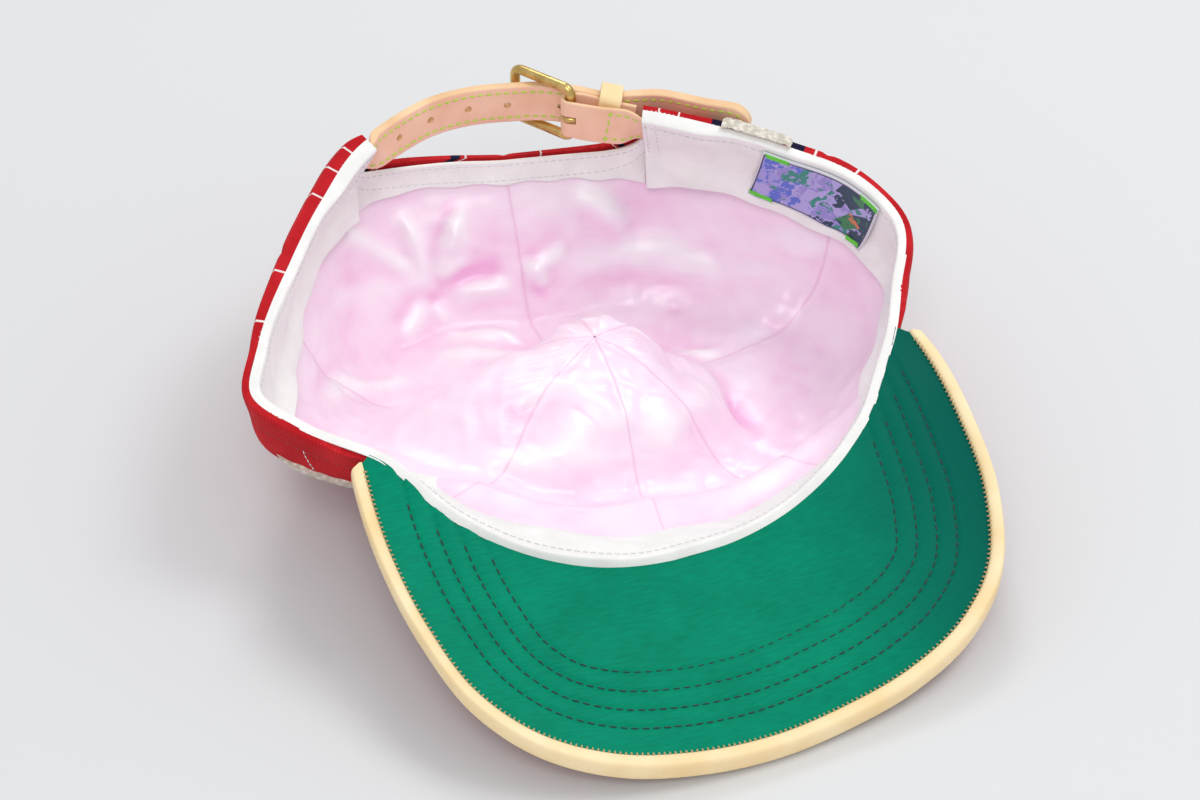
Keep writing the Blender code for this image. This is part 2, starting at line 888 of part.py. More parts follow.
def add_label(finish):
    """The woven label sewn on the right of the sweatband."""
    off = fit + lining_wall + fit + band_wall + fit
    half = math.degrees(label_width / 2 / half_head_width)
    first, last = label_turn - half, label_turn + half
    turns = [first] + [turn for turn in band_turns() if first + 1 < turn < last - 1] + [last]
    step = band_depth / white_steps
    end = label_from_rim + label_height
    distances = [label_from_rim, step, 2 * step, end]
    outer, inner = [], []
    for turn in turns:
        outer.append([band_cell(turn, distance, off) for distance in distances])
        inner.append([band_cell(turn, distance, off + label_wall) for distance in distances])
    add_sheet("label", outer, inner, finish)


def add_button(finish):
    """The covered button, under the raised middle of the crown, with its stem through it."""
    seat = button_height - shell_wall - 0.0013
    profile = (
        (button_stem_radius, button_height - fit),
        (button_stem_radius, seat),
        (button_radius, seat - 0.0012),
        (button_radius * 0.85, seat - button_depth * 0.6),
        (button_radius * 0.45, seat - button_depth),
    )
    stations = []
    for radius, height in profile:
        middle = np.array([button_right, button_back, height])
        stations.append([middle + plan(angle) * radius for angle in range(0, 360, 24)])
    add_sweep("top_button", stations, finish)


def clear_scene():
    for item in list(bpy.data.objects):
        bpy.data.objects.remove(item)


def stand_on_origin():
    """Move every mesh so that the origin lies under the middle of the cap's box."""
    solids = [item for item in bpy.data.objects if not item.hide_render]
    corners = np.array([vertex.co for item in solids for vertex in item.data.vertices])
    middle = (corners.min(axis=0) + corners.max(axis=0)) / 2
    for item in bpy.data.objects:
        for vertex in item.data.vertices:
            vertex.co.x -= middle[0]
            vertex.co.y -= middle[1]


def build():
    clear_scene()
    red = material("red_jersey", (0.56, 0.03, 0.035), 0.9)
    pink = material("pink_satin", (0.93, 0.62, 0.78), 0.3)
    white = material("white_cotton", (0.86, 0.84, 0.84), 0.85)
    green = material("green_satin", (0.0, 0.24, 0.13), 0.4)
    tan = material("tan_leather", (0.78, 0.50, 0.32), 0.55)
    pale = material("pale_leather", (0.86, 0.66, 0.40), 0.5)
    brass = material("brass", (0.72, 0.52, 0.16), 0.25, metallic=1.0)
    woven = material("woven_label", (0.25, 0.28, 0.55), 0.8)
    for name, (first, last) in seam_turns.items():
        add_panel("crown_panel_" + name, first, last, red)
        add_lining_gore("lining_" + name, first, last, pink)
    add_sweatband(white)
    add_arch_facing(white)
    add_brim_sheet("brim_satin", 0.0, satin_wall, satin_start, green)
    under = satin_wall + fit
    add_brim_sheet("brim_board", under, under + board_wall, brim_start, red)
    add_binding(pale)
    add_tongue(tan)
    add_buckle_side(tan)
    add_wire("buckle_frame", frame_course(), wire_radius, brass, closed=True)
    add_prong(brass)
    add_keeper(pale)
    add_label(woven)
    add_button(red)
    stand_on_origin()


build()
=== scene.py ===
import math

import bmesh
import bpy
import numpy as np
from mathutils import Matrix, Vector


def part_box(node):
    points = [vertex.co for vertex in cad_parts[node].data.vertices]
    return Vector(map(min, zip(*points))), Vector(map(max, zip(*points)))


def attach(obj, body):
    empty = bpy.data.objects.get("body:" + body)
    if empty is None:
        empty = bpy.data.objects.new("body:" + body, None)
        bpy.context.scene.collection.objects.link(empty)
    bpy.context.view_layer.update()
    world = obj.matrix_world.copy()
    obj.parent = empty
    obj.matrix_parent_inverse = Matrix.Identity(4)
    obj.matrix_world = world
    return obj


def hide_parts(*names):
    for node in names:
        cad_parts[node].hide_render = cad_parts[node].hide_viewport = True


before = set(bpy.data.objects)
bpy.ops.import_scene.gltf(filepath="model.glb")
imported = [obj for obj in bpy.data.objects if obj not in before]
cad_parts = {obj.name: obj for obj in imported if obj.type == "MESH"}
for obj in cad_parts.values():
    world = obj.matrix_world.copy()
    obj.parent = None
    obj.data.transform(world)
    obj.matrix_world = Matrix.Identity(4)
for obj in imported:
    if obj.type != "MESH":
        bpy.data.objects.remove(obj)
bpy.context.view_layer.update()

# Red shell: six panels of cotton jersey, cut to a point, sewn along their sides and
# turned in at the rim as a hem. The cap lies on its slumped crown, so the cloth is
# pushed up in the middle and flat where it rests.
half_head_width = 0.1025
back_height = 0.080
crown_height = 0.060
button_right = 0.003
button_back = 0.011
button_height = 0.0345
button_flat = 0.0080
shell_wall = 0.0014
hem_wall = 0.0024
hem_depth = 0.012
lining_wall = 0.0010
band_wall = 0.0012
fit = 0.0003
band_depth = 0.030
facing_depth = 0.009
arch_depth = 0.028
arch_middle_turn = 180.0
arch_half_turn = 31.5
arch_squareness = 4.0
brim_half_turn = 70.0
panel_puff = 0.0015
panel_seams = {
    "front_right": (-3.0, 43.0),
    "side_right": (43.0, 110.0),
    "back_right": (110.0, 180.0),
    "back_left": (180.0, 242.0),
    "side_left": (242.0, 302.0),
    "front_left": (302.0, 357.0),
}


def table(columns, rows):
    return dict(zip(columns.split(), np.array(rows, float).T))


rim = table("turn reach lift", (
    (0, 0.738, 0.300),
    (25, 0.760, 0.340),
    (48, 0.806, 0.452),
    (66, 0.845, 0.575),
    (80, 0.900, 0.645),
    (93, 0.985, 0.725),
    (104, 0.950, 0.793),
    (117, 0.850, 0.848),
    (133, 0.770, 0.900),
    (149, 0.735, 0.940),
    (180, 0.700, 1.000),
    (211, 0.862, 0.980),
    (229, 0.855, 0.913),
    (245, 0.883, 0.843),
    (262, 0.972, 0.757),
    (271, 1.025, 0.703),
    (279, 0.950, 0.657),
    (292, 0.812, 0.590),
    (309, 0.797, 0.470),
    (334, 0.765, 0.342),
))
sections = table(
    "turn waist_reach waist_lift shoulder_reach shoulder_lift"
    " dip_reach dip_lift rise_reach rise_lift", (
    (0, 0.86, 0.30, 0.67, 0.165, 0.50, 0.13, 0.25, 0.47),
    (45, 0.93, 0.38, 0.78, 0.14, 0.62, 0.00, 0.30, 0.40),
    (90, 1.00, 0.55, 0.90, 0.15, 0.66, -0.03, 0.28, 0.28),
    (135, 1.12, 0.80, 1.06, 0.35, 0.80, -0.05, 0.30, 0.25),
    (180, 1.16, 0.93, 1.02, 0.50, 0.78, -0.03, 0.30, 0.25),
    (225, 1.10, 0.85, 1.02, 0.35, 0.76, -0.05, 0.32, 0.25),
    (270, 0.96, 0.60, 0.86, 0.48, 0.70, 0.35, 0.40, 0.53),
    (315, 0.90, 0.50, 0.74, 0.30, 0.55, 0.25, 0.28, 0.55),
))


def spline(knots, values, at, period=None):
    knots = np.asarray(knots, float)
    values = np.asarray(values, float)
    if period:
        knots = np.concatenate([knots[-2:] - period, knots, knots[:2] + period])
        values = np.concatenate([values[-2:], values, values[:2]])
    slopes = np.gradient(values, knots, axis=0)
    at = np.asarray(at, float)
    index = np.clip(np.searchsorted(knots, at, side="right") - 1, 0, len(knots) - 2)
    span = knots[index + 1] - knots[index]
    share = (at - knots[index]) / span
    if values.ndim > 1:
        span = span[..., None]
        share = share[..., None]
    from_start = 2 * share**3 - 3 * share**2 + 1
    from_end = 3 * share**2 - 2 * share**3
    start_pull = (share**3 - 2 * share**2 + share) * span
    end_pull = (share**3 - share**2) * span
    ends = from_start * values[index] + from_end * values[index + 1]
    return ends + start_pull * slopes[index] + end_pull * slopes[index + 1]


def around(rows, column, turns):
    return spline(rows["turn"], rows[column], np.mod(turns, 360), period=360)


def ease(share):
    share = np.clip(share, 0.0, 1.0)
    return share * share * (3 - 2 * share)


def bell(value, middle, width):
    return np.exp(-(((value - middle) / width) ** 2))


def unit(vectors):
    return vectors / np.linalg.norm(vectors, axis=-1, keepdims=True)


def run_along(points):
    """How far along its course each point lies."""
    steps = np.linalg.norm(np.diff(points, axis=0), axis=1)
    return np.concatenate([[0.0], np.cumsum(steps)])


def outward(turns):
    angles = np.radians(turns)
    return np.stack([np.sin(angles), -np.cos(angles), 0 * angles], axis=-1)


def settled(height, blend=0.004):
    between = (height + blend) ** 2 / (4 * blend)
    return np.where(height > blend, height, np.where(height < -blend, 0.0, between))


# The cloth is mapped once on a fine net of lines from the rim to the button
net_turns = np.arange(0, 360, 0.5)
band_rows = 31
cloth_rows = 170


def cloth_net():
    reach = half_head_width * around(rim, "reach", net_turns)
    levels = ("waist", "shoulder", "dip", "rise")
    reaches = [np.ones_like(reach)]
    reaches += [around(sections, level + "_reach", net_turns) for level in levels]
    reaches += [button_flat / reach, 0 * reach]
    heights = [back_height * around(rim, "lift", net_turns)]
    heights += [crown_height * around(sections, level + "_lift", net_turns) for level in levels]
    heights += [button_height - 0.0004 + 0 * reach, button_height + 0 * reach]
    button = np.array([button_right, button_back, 0.0])
    corners = []
    for share, height in zip(reaches, heights):
        middle = button * (1 - np.minimum(share, 1.0))[:, None]
        place = middle + outward(net_turns) * (share * reach)[:, None]
        place[:, 2] = height
        corners.append(place)
    corners = np.stack(corners, axis=1)
    net = np.zeros((len(net_turns), band_rows + cloth_rows - 1, 3))
    lengths = np.zeros(len(net_turns))
    for index, line in enumerate(corners):
        knots = run_along(line)
        points = spline(knots, line, np.linspace(0, knots[-1], 241))
        points[:, 2] = shell_wall + settled(points[:, 2] - shell_wall)
        run = run_along(points)
        lengths[index] = run[-1]
        downs = np.concatenate([
            np.linspace(0, band_depth, band_rows)[:-1],
            np.linspace(band_depth, run[-1], cloth_rows),
        ])
        for axis in range(3):
            net[index, :, axis] = np.interp(downs, run, points[:, axis])
    return net, lengths


net, net_lengths = cloth_net()
cap_middle = (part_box("top_button")[0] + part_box("top_button")[1]) / 2
shift = np.array([cap_middle.x - button_right, cap_middle.y - button_back, 0.0])


def net_normals():
    aside = np.roll(net, -2, axis=0) - np.roll(net, 2, axis=0)
    normals = np.cross(aside, np.gradient(net, axis=1))
    size = np.linalg.norm(normals, axis=2, keepdims=True)
    normals = normals / np.maximum(size, 1e-12)
    left = (1 - np.arange(net.shape[1]) / (net.shape[1] - 1)) * net_lengths[:, None]
    share = ease((left - 0.004) / 0.006)[..., None]
    return unit(normals * share + np.array([0.0, 0.0, 1.0]) * (1 - share))


normals = net_normals()


def net_downs():
    rows = np.arange(net.shape[1])
    beyond = np.clip(rows - (band_rows - 1), 0, None) / (cloth_rows - 1)
    band = np.minimum(rows, band_rows - 1) / (band_rows - 1) * band_depth
    return band[None, :] + beyond[None, :] * (net_lengths[:, None] - band_depth)


downs = net_downs()


def seam_distance():
    """How far each place of the net lies from the nearest seam."""
    button = np.array([button_right, button_back])
    radius = np.linalg.norm(net[..., :2] - button, axis=2)
    nearest = np.full(len(net_turns), 360.0)
    for first, _ in panel_seams.values():
        nearest = np.minimum(nearest, np.abs((net_turns - first + 180) % 360 - 180))
    return np.radians(nearest)[:, None] * radius


from_seam = seam_distance()

# Folds that shell and lining share: ends as turn and share of the wall from rim to button
folds = table("turn share end_turn end_share width push", (
    (203.5, 0.548, 187.5, 0.593, 0.006, 0.0012),
    (242.0, 0.372, 225.5, 0.518, 0.006, 0.0016),
    (253.0, 0.276, 232.5, 0.392, 0.007, -0.0016),
    (104.5, 0.673, 67.0, 0.462, 0.006, -0.0018),
    (85.5, 0.593, 54.0, 0.291, 0.008, 0.0016),
    (130.0, 0.583, 112.5, 0.573, 0.006, -0.0012),
    (147.5, 0.955, 138.5, 0.578, 0.005, 0.0012),
    (295.5, 0.588, 305.0, 0.759, 0.006, -0.0012),
    (305.0, 0.759, 348.5, 0.613, 0.006, -0.0010),
    (292.5, 0.337, 341.5, 0.523, 0.009, 0.0014),
    (8.5, 0.573, 68.5, 0.668, 0.008, 0.0010),
    (163.0, 0.206, 153.0, 0.307, 0.007, 0.0014),
    (153.5, 0.367, 130.0, 0.357, 0.009, -0.0016),
    (115.0, 0.437, 112.5, 0.317, 0.007, 0.0012),
))


# One broad fold at the front lies across the panels
front_fold_turn = -3.0
front_fold_depth = 0.062
front_fold_push = 0.0030
front_fold_half_turn = 16.0
front_fold_half_length = 0.020


def on_net(turn, share):
    row = share * (net.shape[1] - 1)
    return net[int(round(turn * 2)) % len(net_turns), int(round(row))]


def ridge(start, end, width, push):
    run = end - start
    along = ((net - start) @ run) / (run @ run)
    nearest = start + np.clip(along, 0, 1)[..., None] * run
    away = np.linalg.norm(net - nearest, axis=2)
    taper = np.sin(math.pi * np.clip(along * 0.86 + 0.07, 0, 1))
    return push * taper * bell(away, 0, width)


def ripple(seed, amplitude, shortest, longest, waves=26):
    """Gentle crumples of loose cloth, from waves in all directions."""
    dice = np.random.default_rng(seed)
    total = 0 * net[..., 0]
    for _ in range(waves):
        direction = dice.normal(size=3)
        direction /= np.linalg.norm(direction)
        length = dice.uniform(shortest, longest)
        phase = dice.uniform(0, 2 * math.pi)
        total += np.sin((net @ direction) * 2 * math.pi / length + phase) * length
    return amplitude * total / np.abs(total).max()


def main_folds():
    moved = 0 * downs
    for row in zip(*folds.values()):
        turn, share, end_turn, end_share, width, push = row
        moved += ridge(on_net(turn, share), on_net(end_turn, end_share), width, push)
    for first, last in panel_seams.values():
        share = ((net_turns - first) % 360) / (last - first)
        inside = (share > 0) & (share < 1)
        puff = np.where(inside, np.sin(math.pi * np.clip(share, 0, 1)), 0)
        moved -= panel_puff * puff[:, None] * np.sin(math.pi * downs / net_lengths[:, None])
    away = ((net_turns - front_fold_turn + 180) % 360 - 180)[:, None] / front_fold_half_turn
    below = (downs - front_fold_depth) / front_fold_half_length
    moved += front_fold_push * np.exp(-(away**2) - below**2)
    return moved


fold_push = main_folds()


def net_cells(turns, distances):
    """The two net lines beside each place: their index, row, part of a row and weight."""
    column = (turns % 360) * 2
    first = np.floor(column).astype(int)
    cells = []
    for offset in (0, 1):
        index = (first + offset) % len(net_turns)
        reach = (distances - band_depth) / (net_lengths[index] - band_depth)
        row = np.where(
            distances < band_depth,
            distances / band_depth * (band_rows - 1),
            band_rows - 1 + np.clip(reach, 0, 1) * (cloth_rows - 1),
        )
        row = np.clip(row, 0, net.shape[1] - 1.0001)
        low = np.floor(row).astype(int)
        weight = column - first if offset else 1 - (column - first)
        cells.append((index, low, row - low, weight))
    return cells


def field_at(field, turns, distances):
    """A field of the net read at any turns and distances from the rim."""
    turns, distances = np.broadcast_arrays(np.asarray(turns, float), distances)
    total = 0
    for index, low, part, weight in net_cells(turns, distances):
        total = total + weight * (field[index, low] * (1 - part) + field[index, low + 1] * part)
    return total


def cloth(turns, distances, off, extra=None):
    """Places held off the shell's inner face, at any turns and distances from the rim."""
    turns, distances = np.broadcast_arrays(np.asarray(turns, float), distances)
    field = fold_push if extra is None else fold_push + extra
    place = 0
    for index, low, part, weight in net_cells(turns, distances):
        part = part[..., None]
        spot = net[index, low] * (1 - part) + net[index, low + 1] * part
        normal = normals[index, low] * (1 - part) + normals[index, low + 1] * part
        push = field[index, low][..., None] * (1 - part) + field[index, low + 1][..., None] * part
        place = place + weight[..., None] * (spot + normal * (np.asarray(off)[..., None] + push))
    lowest = shell_wall + np.asarray(off)
    place[..., 2] = np.maximum(place[..., 2], np.broadcast_to(lowest, place[..., 2].shape))
    return place + shift


def arch_cut(turns):
    away = np.abs((np.asarray(turns, float) - arch_middle_turn + 180) % 360 - 180)
    share = np.clip(away / arch_half_turn, 0, 1)
    return arch_depth * (1 - share**arch_squareness) ** (1 / arch_squareness)


def white_end(turns):
    away = np.abs((np.asarray(turns, float) - arch_middle_turn + 180) % 360 - 180)
    near = 1 - ease((away - arch_half_turn) / 15)
    return band_depth + (arch_depth + facing_depth - band_depth) * near


def placed(name, data):
    piece = bpy.data.objects.new(name, data)
    bpy.context.collection.objects.link(piece)
    return piece


def grid_piece(name, outer, inner, finish, uv=None, closed=False):
    """A thin closed sheet between two nets of places, with a UV map in metres."""
    columns, rows = outer.shape[:2]
    points = np.concatenate([outer.reshape(-1, 3), inner.reshape(-1, 3)])
    index = np.arange(2 * columns * rows).reshape(2, columns, rows)
    faces = []
    last = columns if closed else columns - 1
    for side in (0, 1):
        a = index[side][:last, :-1]
        b = np.roll(index[side], -1, axis=0)[:last, :-1]
        c = np.roll(index[side], -1, axis=0)[:last, 1:]
        d = index[side][:last, 1:]
        order = (a, b, c, d) if side == 0 else (a, d, c, b)
        faces.append(np.stack(order, axis=-1).reshape(-1, 4))
    for row in (0, rows - 1):
        a, b = index[0][:, row], np.roll(index[0][:, row], -1)
        c, d = np.roll(index[1][:, row], -1), index[1][:, row]
        faces.append(np.stack((a, b, c, d), axis=-1)[:last])
    if not closed:
        for column in (0, columns - 1):
            a, b = index[0][column][:-1], index[0][column][1:]
            c, d = index[1][column][1:], index[1][column][:-1]
            faces.append(np.stack((a, b, c, d), axis=-1))
    faces = np.concatenate(faces)
    mesh = bpy.data.meshes.new(name)
    mesh.from_pydata(points.tolist(), [], faces.tolist())
    shape = bmesh.new()
    shape.from_mesh(mesh)
    bmesh.ops.recalc_face_normals(shape, faces=shape.faces)
    if shape.calc_volume(signed=True) < 0:
        bmesh.ops.reverse_faces(shape, faces=shape.faces)
    shape.to_mesh(mesh)
    shape.free()
    if uv is not None:
        flat = np.concatenate([uv.reshape(-1, 2)] * 2)
        layer = mesh.uv_layers.new(name="cloth")
        corners = np.zeros(len(mesh.loops), int)
        mesh.loops.foreach_get("vertex_index", corners)
        layer.data.foreach_set("uv", flat[corners].ravel())
    mesh.shade_smooth()
    mesh.set_sharp_from_angle(angle=math.radians(50))
    mesh.materials.append(finish)
    return placed(name, mesh)


def new_material(name, roughness, **settings):
    finish = bpy.data.materials.new(name)
    finish.use_nodes = True
    shader = finish.node_tree.nodes["Principled BSDF"]
    shader.inputs["Roughness"].default_value = roughness
    for socket, value in settings.items():
        shader.inputs[socket.replace("_", " ")].default_value = value
    return finish


def wire(node, inputs):
    """Fills a node's inputs: a socket is linked, anything else is set as a value."""
    for socket, value in inputs.items():
        if isinstance(value, bpy.types.NodeSocket):
            node.id_data.links.new(value, node.inputs[socket])
        else:
            node.inputs[socket].default_value = value
    return node


def add_node(tree, kind, inputs=(), **settings):
    node = getattr(tree, "node_tree", tree).nodes.new(kind)
    for key, value in settings.items():
        setattr(node, key, value)
    return wire(node, dict(inputs))


def beside(inputs, kind, **settings):
    """A node in the tree of the first socket among its inputs."""
    sockets = [value for value in inputs.values() if isinstance(value, bpy.types.NodeSocket)]
    return add_node(sockets[0].id_data, kind, inputs, **settings)


def colours(factor, stops, interpolation="LINEAR"):
    ramp = beside({"Fac": factor}, "ShaderNodeValToRGB")
    ramp.color_ramp.interpolation = interpolation
    while len(ramp.color_ramp.elements) < len(stops):
        ramp.color_ramp.elements.new(0.5)
    for element, (place, colour) in zip(ramp.color_ramp.elements, stops):
        element.position = place
        element.color = (*colour, 1.0)
    return ramp.outputs["Color"]


def mixed(factor, first, second, blend="MIX"):
    inputs = {0: factor, 6: first, 7: second}
    return beside(inputs, "ShaderNodeMix", data_type="RGBA", blend_type=blend).outputs[2]


def maths(operation, *values):
    return beside(dict(enumerate(values)), "ShaderNodeMath", operation=operation).outputs[0]


def stretched(vector, **values):
    """Texture coordinates scaled or turned by a Mapping node."""
    return beside({"Vector": vector, **values}, "ShaderNodeMapping").outputs[0]


def finish_with(finish, colour=None, bumps=(), roughness=None):
    """Colour and a stack of bumps, each a height, its strength and its depth in metres."""
    links = finish.node_tree.links
    shader = finish.node_tree.nodes["Principled BSDF"]
    if colour is not None:
        links.new(colour, shader.inputs["Base Color"])
    if roughness is not None:
        links.new(roughness, shader.inputs["Roughness"])
    normal = None
    for height, strength, depth in bumps:
        values = {"Height": height, "Strength": strength, "Distance": depth}
        if normal is not None:
            values["Normal"] = normal
        normal = add_node(finish, "ShaderNodeBump", values).outputs["Normal"]
    if normal is not None:
        links.new(normal, shader.inputs["Normal"])


def ribs(vector, per_metre, direction="X", distortion=0.0):
    """Even ribs or rows of thread across a surface."""
    inputs = {"Vector": vector, "Scale": per_metre / 3.18, "Distortion": distortion}
    inputs |= {"Detail": 1.0, "Detail Scale": 2.0}
    return beside(inputs, "ShaderNodeTexWave", bands_direction=direction).outputs["Fac"]


def noise(vector, scale, detail=3.0, roughness=0.5):
    inputs = {"Vector": vector, "Scale": scale, "Detail": detail, "Roughness": roughness}
    return beside(inputs, "ShaderNodeTexNoise").outputs["Fac"]


def coordinates(finish, kind="UV"):
    return add_node(finish, "ShaderNodeTexCoord").outputs[kind]


def stroke_mask(across, down, strokes):
    """One where any of the strokes runs: middle, half width, slant, start, end, wave."""
    total = None
    for middle, half, slant, start, end, wave in strokes:
        ripple_line = maths("MULTIPLY", wave, maths("SINE", maths("MULTIPLY", down, 900.0)))
        line = maths("ADD", ripple_line, maths("MULTIPLY_ADD", down, slant, middle))
        near = maths("LESS_THAN", maths("ABSOLUTE", maths("SUBTRACT", across, line)), half)
        span = maths("MULTIPLY", maths("GREATER_THAN", down, start), maths("LESS_THAN", down, end))
        mask = maths("MULTIPLY", near, span)
        total = mask if total is None else maths("MAXIMUM", total, mask)
    return total


def jersey(name, deep, bright, navy=(), white=()):
    """Cotton jersey: fine ribs down the cloth, crossed by rows of loops, with a little fuzz."""
    sheen = {"Sheen_Weight": 0.04, "Sheen_Roughness": 0.5}
    finish = new_material(name, 0.92, Specular_IOR_Level=0.08, **sheen)
    cloth_map = coordinates(finish)
    solid = coordinates(finish, "Object")
    wales = ribs(cloth_map, 1400)
    courses = ribs(cloth_map, 1700, "Y", 0.6)
    loops = maths("MULTIPLY", wales, courses)
    blotches = noise(solid, 90, 4)
    fuzz = noise(solid, 1500, 2)
    shade = maths("MULTIPLY_ADD", loops, 0.35, maths("MULTIPLY", blotches, 0.65))
    colour = colours(shade, ((0.25, deep), (0.72, bright)))
    split = beside({"Vector": cloth_map}, "ShaderNodeSeparateXYZ")
    for strokes, ink in ((navy, (0.012, 0.010, 0.035, 1.0)), (white, (0.80, 0.74, 0.72, 1.0))):
        if strokes:
            mask = stroke_mask(split.outputs["X"], split.outputs["Y"], strokes)
            colour = mixed(mask, colour, ink)
    finish_with(finish, colour, ((loops, 0.55, 0.0004), (fuzz, 0.25, 0.0003)))
    return finish


map_radius = 0.085


def arc(turn):
    """Where a turn lies across the cloth, on the map that the jersey's strokes are drawn on."""
    return math.radians(turn) * map_radius


navy_strokes = [
    (arc(turn), half, slant, start, end, wave)
    for turn, half, slant, start, end, wave in (
        (131.6, 0.0018, 0.45, -1.0, 0.013, 0.0),
        (115.2, 0.0018, 0.45, -1.0, 0.013, 0.0),
        (190.5, 0.0016, 1.2, -1.0, 0.034, 0.0006),
        (181.0, 0.0042, 1.6, -1.0, 0.029, 0.0),
        (171.0, 0.0016, -1.0, -1.0, 0.034, 0.0004),
        (161.5, 0.0014, 1.5, -1.0, 0.034, 0.0005),
        (151.5, 0.0030, -0.8, -1.0, 0.030, 0.0004),
        (205.5, 0.0020, 0.6, 0.020, 0.036, 0.0004),
    )
]
white_strokes = [
    (arc(turn), 0.0003, slant, start, end, wave)
    for turn, slant, start, end, wave in (
        (188.0, 1.2, -1.0, 0.034, 0.0005),
        (184.6, 1.6, -1.0, 0.034, 0.0004),
        (177.3, 1.6, -1.0, 0.034, 0.0005),
        (173.2, -1.0, -1.0, 0.034, 0.0006),
        (166.0, 0.3, -1.0, 0.034, 0.0),
        (159.5, 1.5, -1.0, 0.034, 0.0006),
        (197.0, 0.4, -1.0, 0.034, 0.0),
        (216.0, 0.2, -1.0, 0.0055, 0.0),
        (221.5, -0.2, -1.0, 0.0060, 0.0),
        (228.5, 0.4, -1.0, 0.0045, 0.0),
        (247.0, 0.1, -1.0, 0.0070, 0.0),
        (257.5, -0.1, -1.0, 0.0070, 0.0),
        (144.8, 0.1, -1.0, 0.0060, 0.0),
        (140.2, -0.2, -1.0, 0.0070, 0.0),
        (112.0, 0.2, -1.0, 0.0055, 0.0),
        (104.5, 0.1, -1.0, 0.0060, 0.0),
    )
]
deep_red = (0.46, 0.010, 0.016)
bright_red = (0.74, 0.030, 0.038)
red_jersey = jersey("red_jersey", deep_red, bright_red, navy_strokes, white_strokes)


def panel_lines(first, last, columns, start, rows, hole):
    """Turns and distances of a fine net over one panel; all lines are level below the arch."""
    turns = np.linspace(first, last, columns)
    corner_turns = arch_middle_turn + arch_half_turn * np.array([-1, -0.993, -0.97, 0.97, 0.993, 1])
    inside = corner_turns[(corner_turns > first) & (corner_turns < last)]
    beside_seams = [first + 0.2, first + 0.5, last - 0.5, last - 0.2]
    turns = np.unique(np.round(np.concatenate([turns, inside, beside_seams]), 4))
    lines = []
    for turn in turns:
        length = np.interp(turn % 360, net_turns, net_lengths, period=360)
        level = arch_depth + 0.75 * facing_depth
        above = np.linspace(arch_cut(turn) + start(turn), level, rows // 3, endpoint=False)
        below = np.linspace(level, length - hole, rows - rows // 3)
        lines.append(np.concatenate([above, below]))
    return turns, np.array(lines)


def cloth_uv(turns, distances):
    across = np.radians(turns)[:, None] * map_radius + 0 * distances
    return np.stack([across, distances], axis=-1)


hem_stitch_depth = 0.0085
# The hem rolls outward at the left and the right: start, growth, end and fade as turns
hem_bulges = ((209, 6, 245, 25, 0.0020), (98, 14, 128, 12, 0.0012))


def hem(distances, turns):
    """How far the shell's outer face stands off its inner face, thicker in the hem."""
    away = np.abs((turns + 180) % 360 - 180)
    free = ease((away - brim_half_turn) / 6)
    below = np.clip(distances - arch_cut(turns), 0, None)
    thick = shell_wall + (hem_wall - shell_wall) * free * (1 - ease(below / hem_depth))
    roll = 0.0006 * free * bell(below, 0, 0.0009)
    groove = 0.00025 * free * bell(below, hem_stitch_depth, 0.0007)
    bulge = 0
    for start, growth, end, fade, height in hem_bulges:
        grown = ease((turns % 360 - start) / growth)
        bulge = bulge + height * (grown * (1 - ease((turns % 360 - end) / fade)))
    bulge = bulge * bell(below, 0.004, 0.007)
    return thick - roll - groove + bulge


def shell_start(turn):
    away = abs((turn + 180) % 360 - 180)
    return 0.0013 * (1 - float(ease((away - brim_half_turn - 3) / 5)))


shell_seams = 0.0007 * bell(from_seam, 0, 0.0011)
shell_crumple = ripple(11, 0.0005, 0.012, 0.045)
for panel, (first, last) in panel_seams.items():
    turns, distances = panel_lines(first, last, 70, shell_start, 110, 0.0035)
    walls = hem(distances, turns[:, None])
    outside = cloth(turns[:, None], distances, -walls, shell_seams + shell_crumple)
    inside = cloth(turns[:, None], distances, np.zeros_like(walls))
    node = "crown_panel_" + panel
    piece = grid_piece(node + "_cloth", outside, inside, red_jersey, cloth_uv(turns, distances))
    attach(piece, "root")
    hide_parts(node)

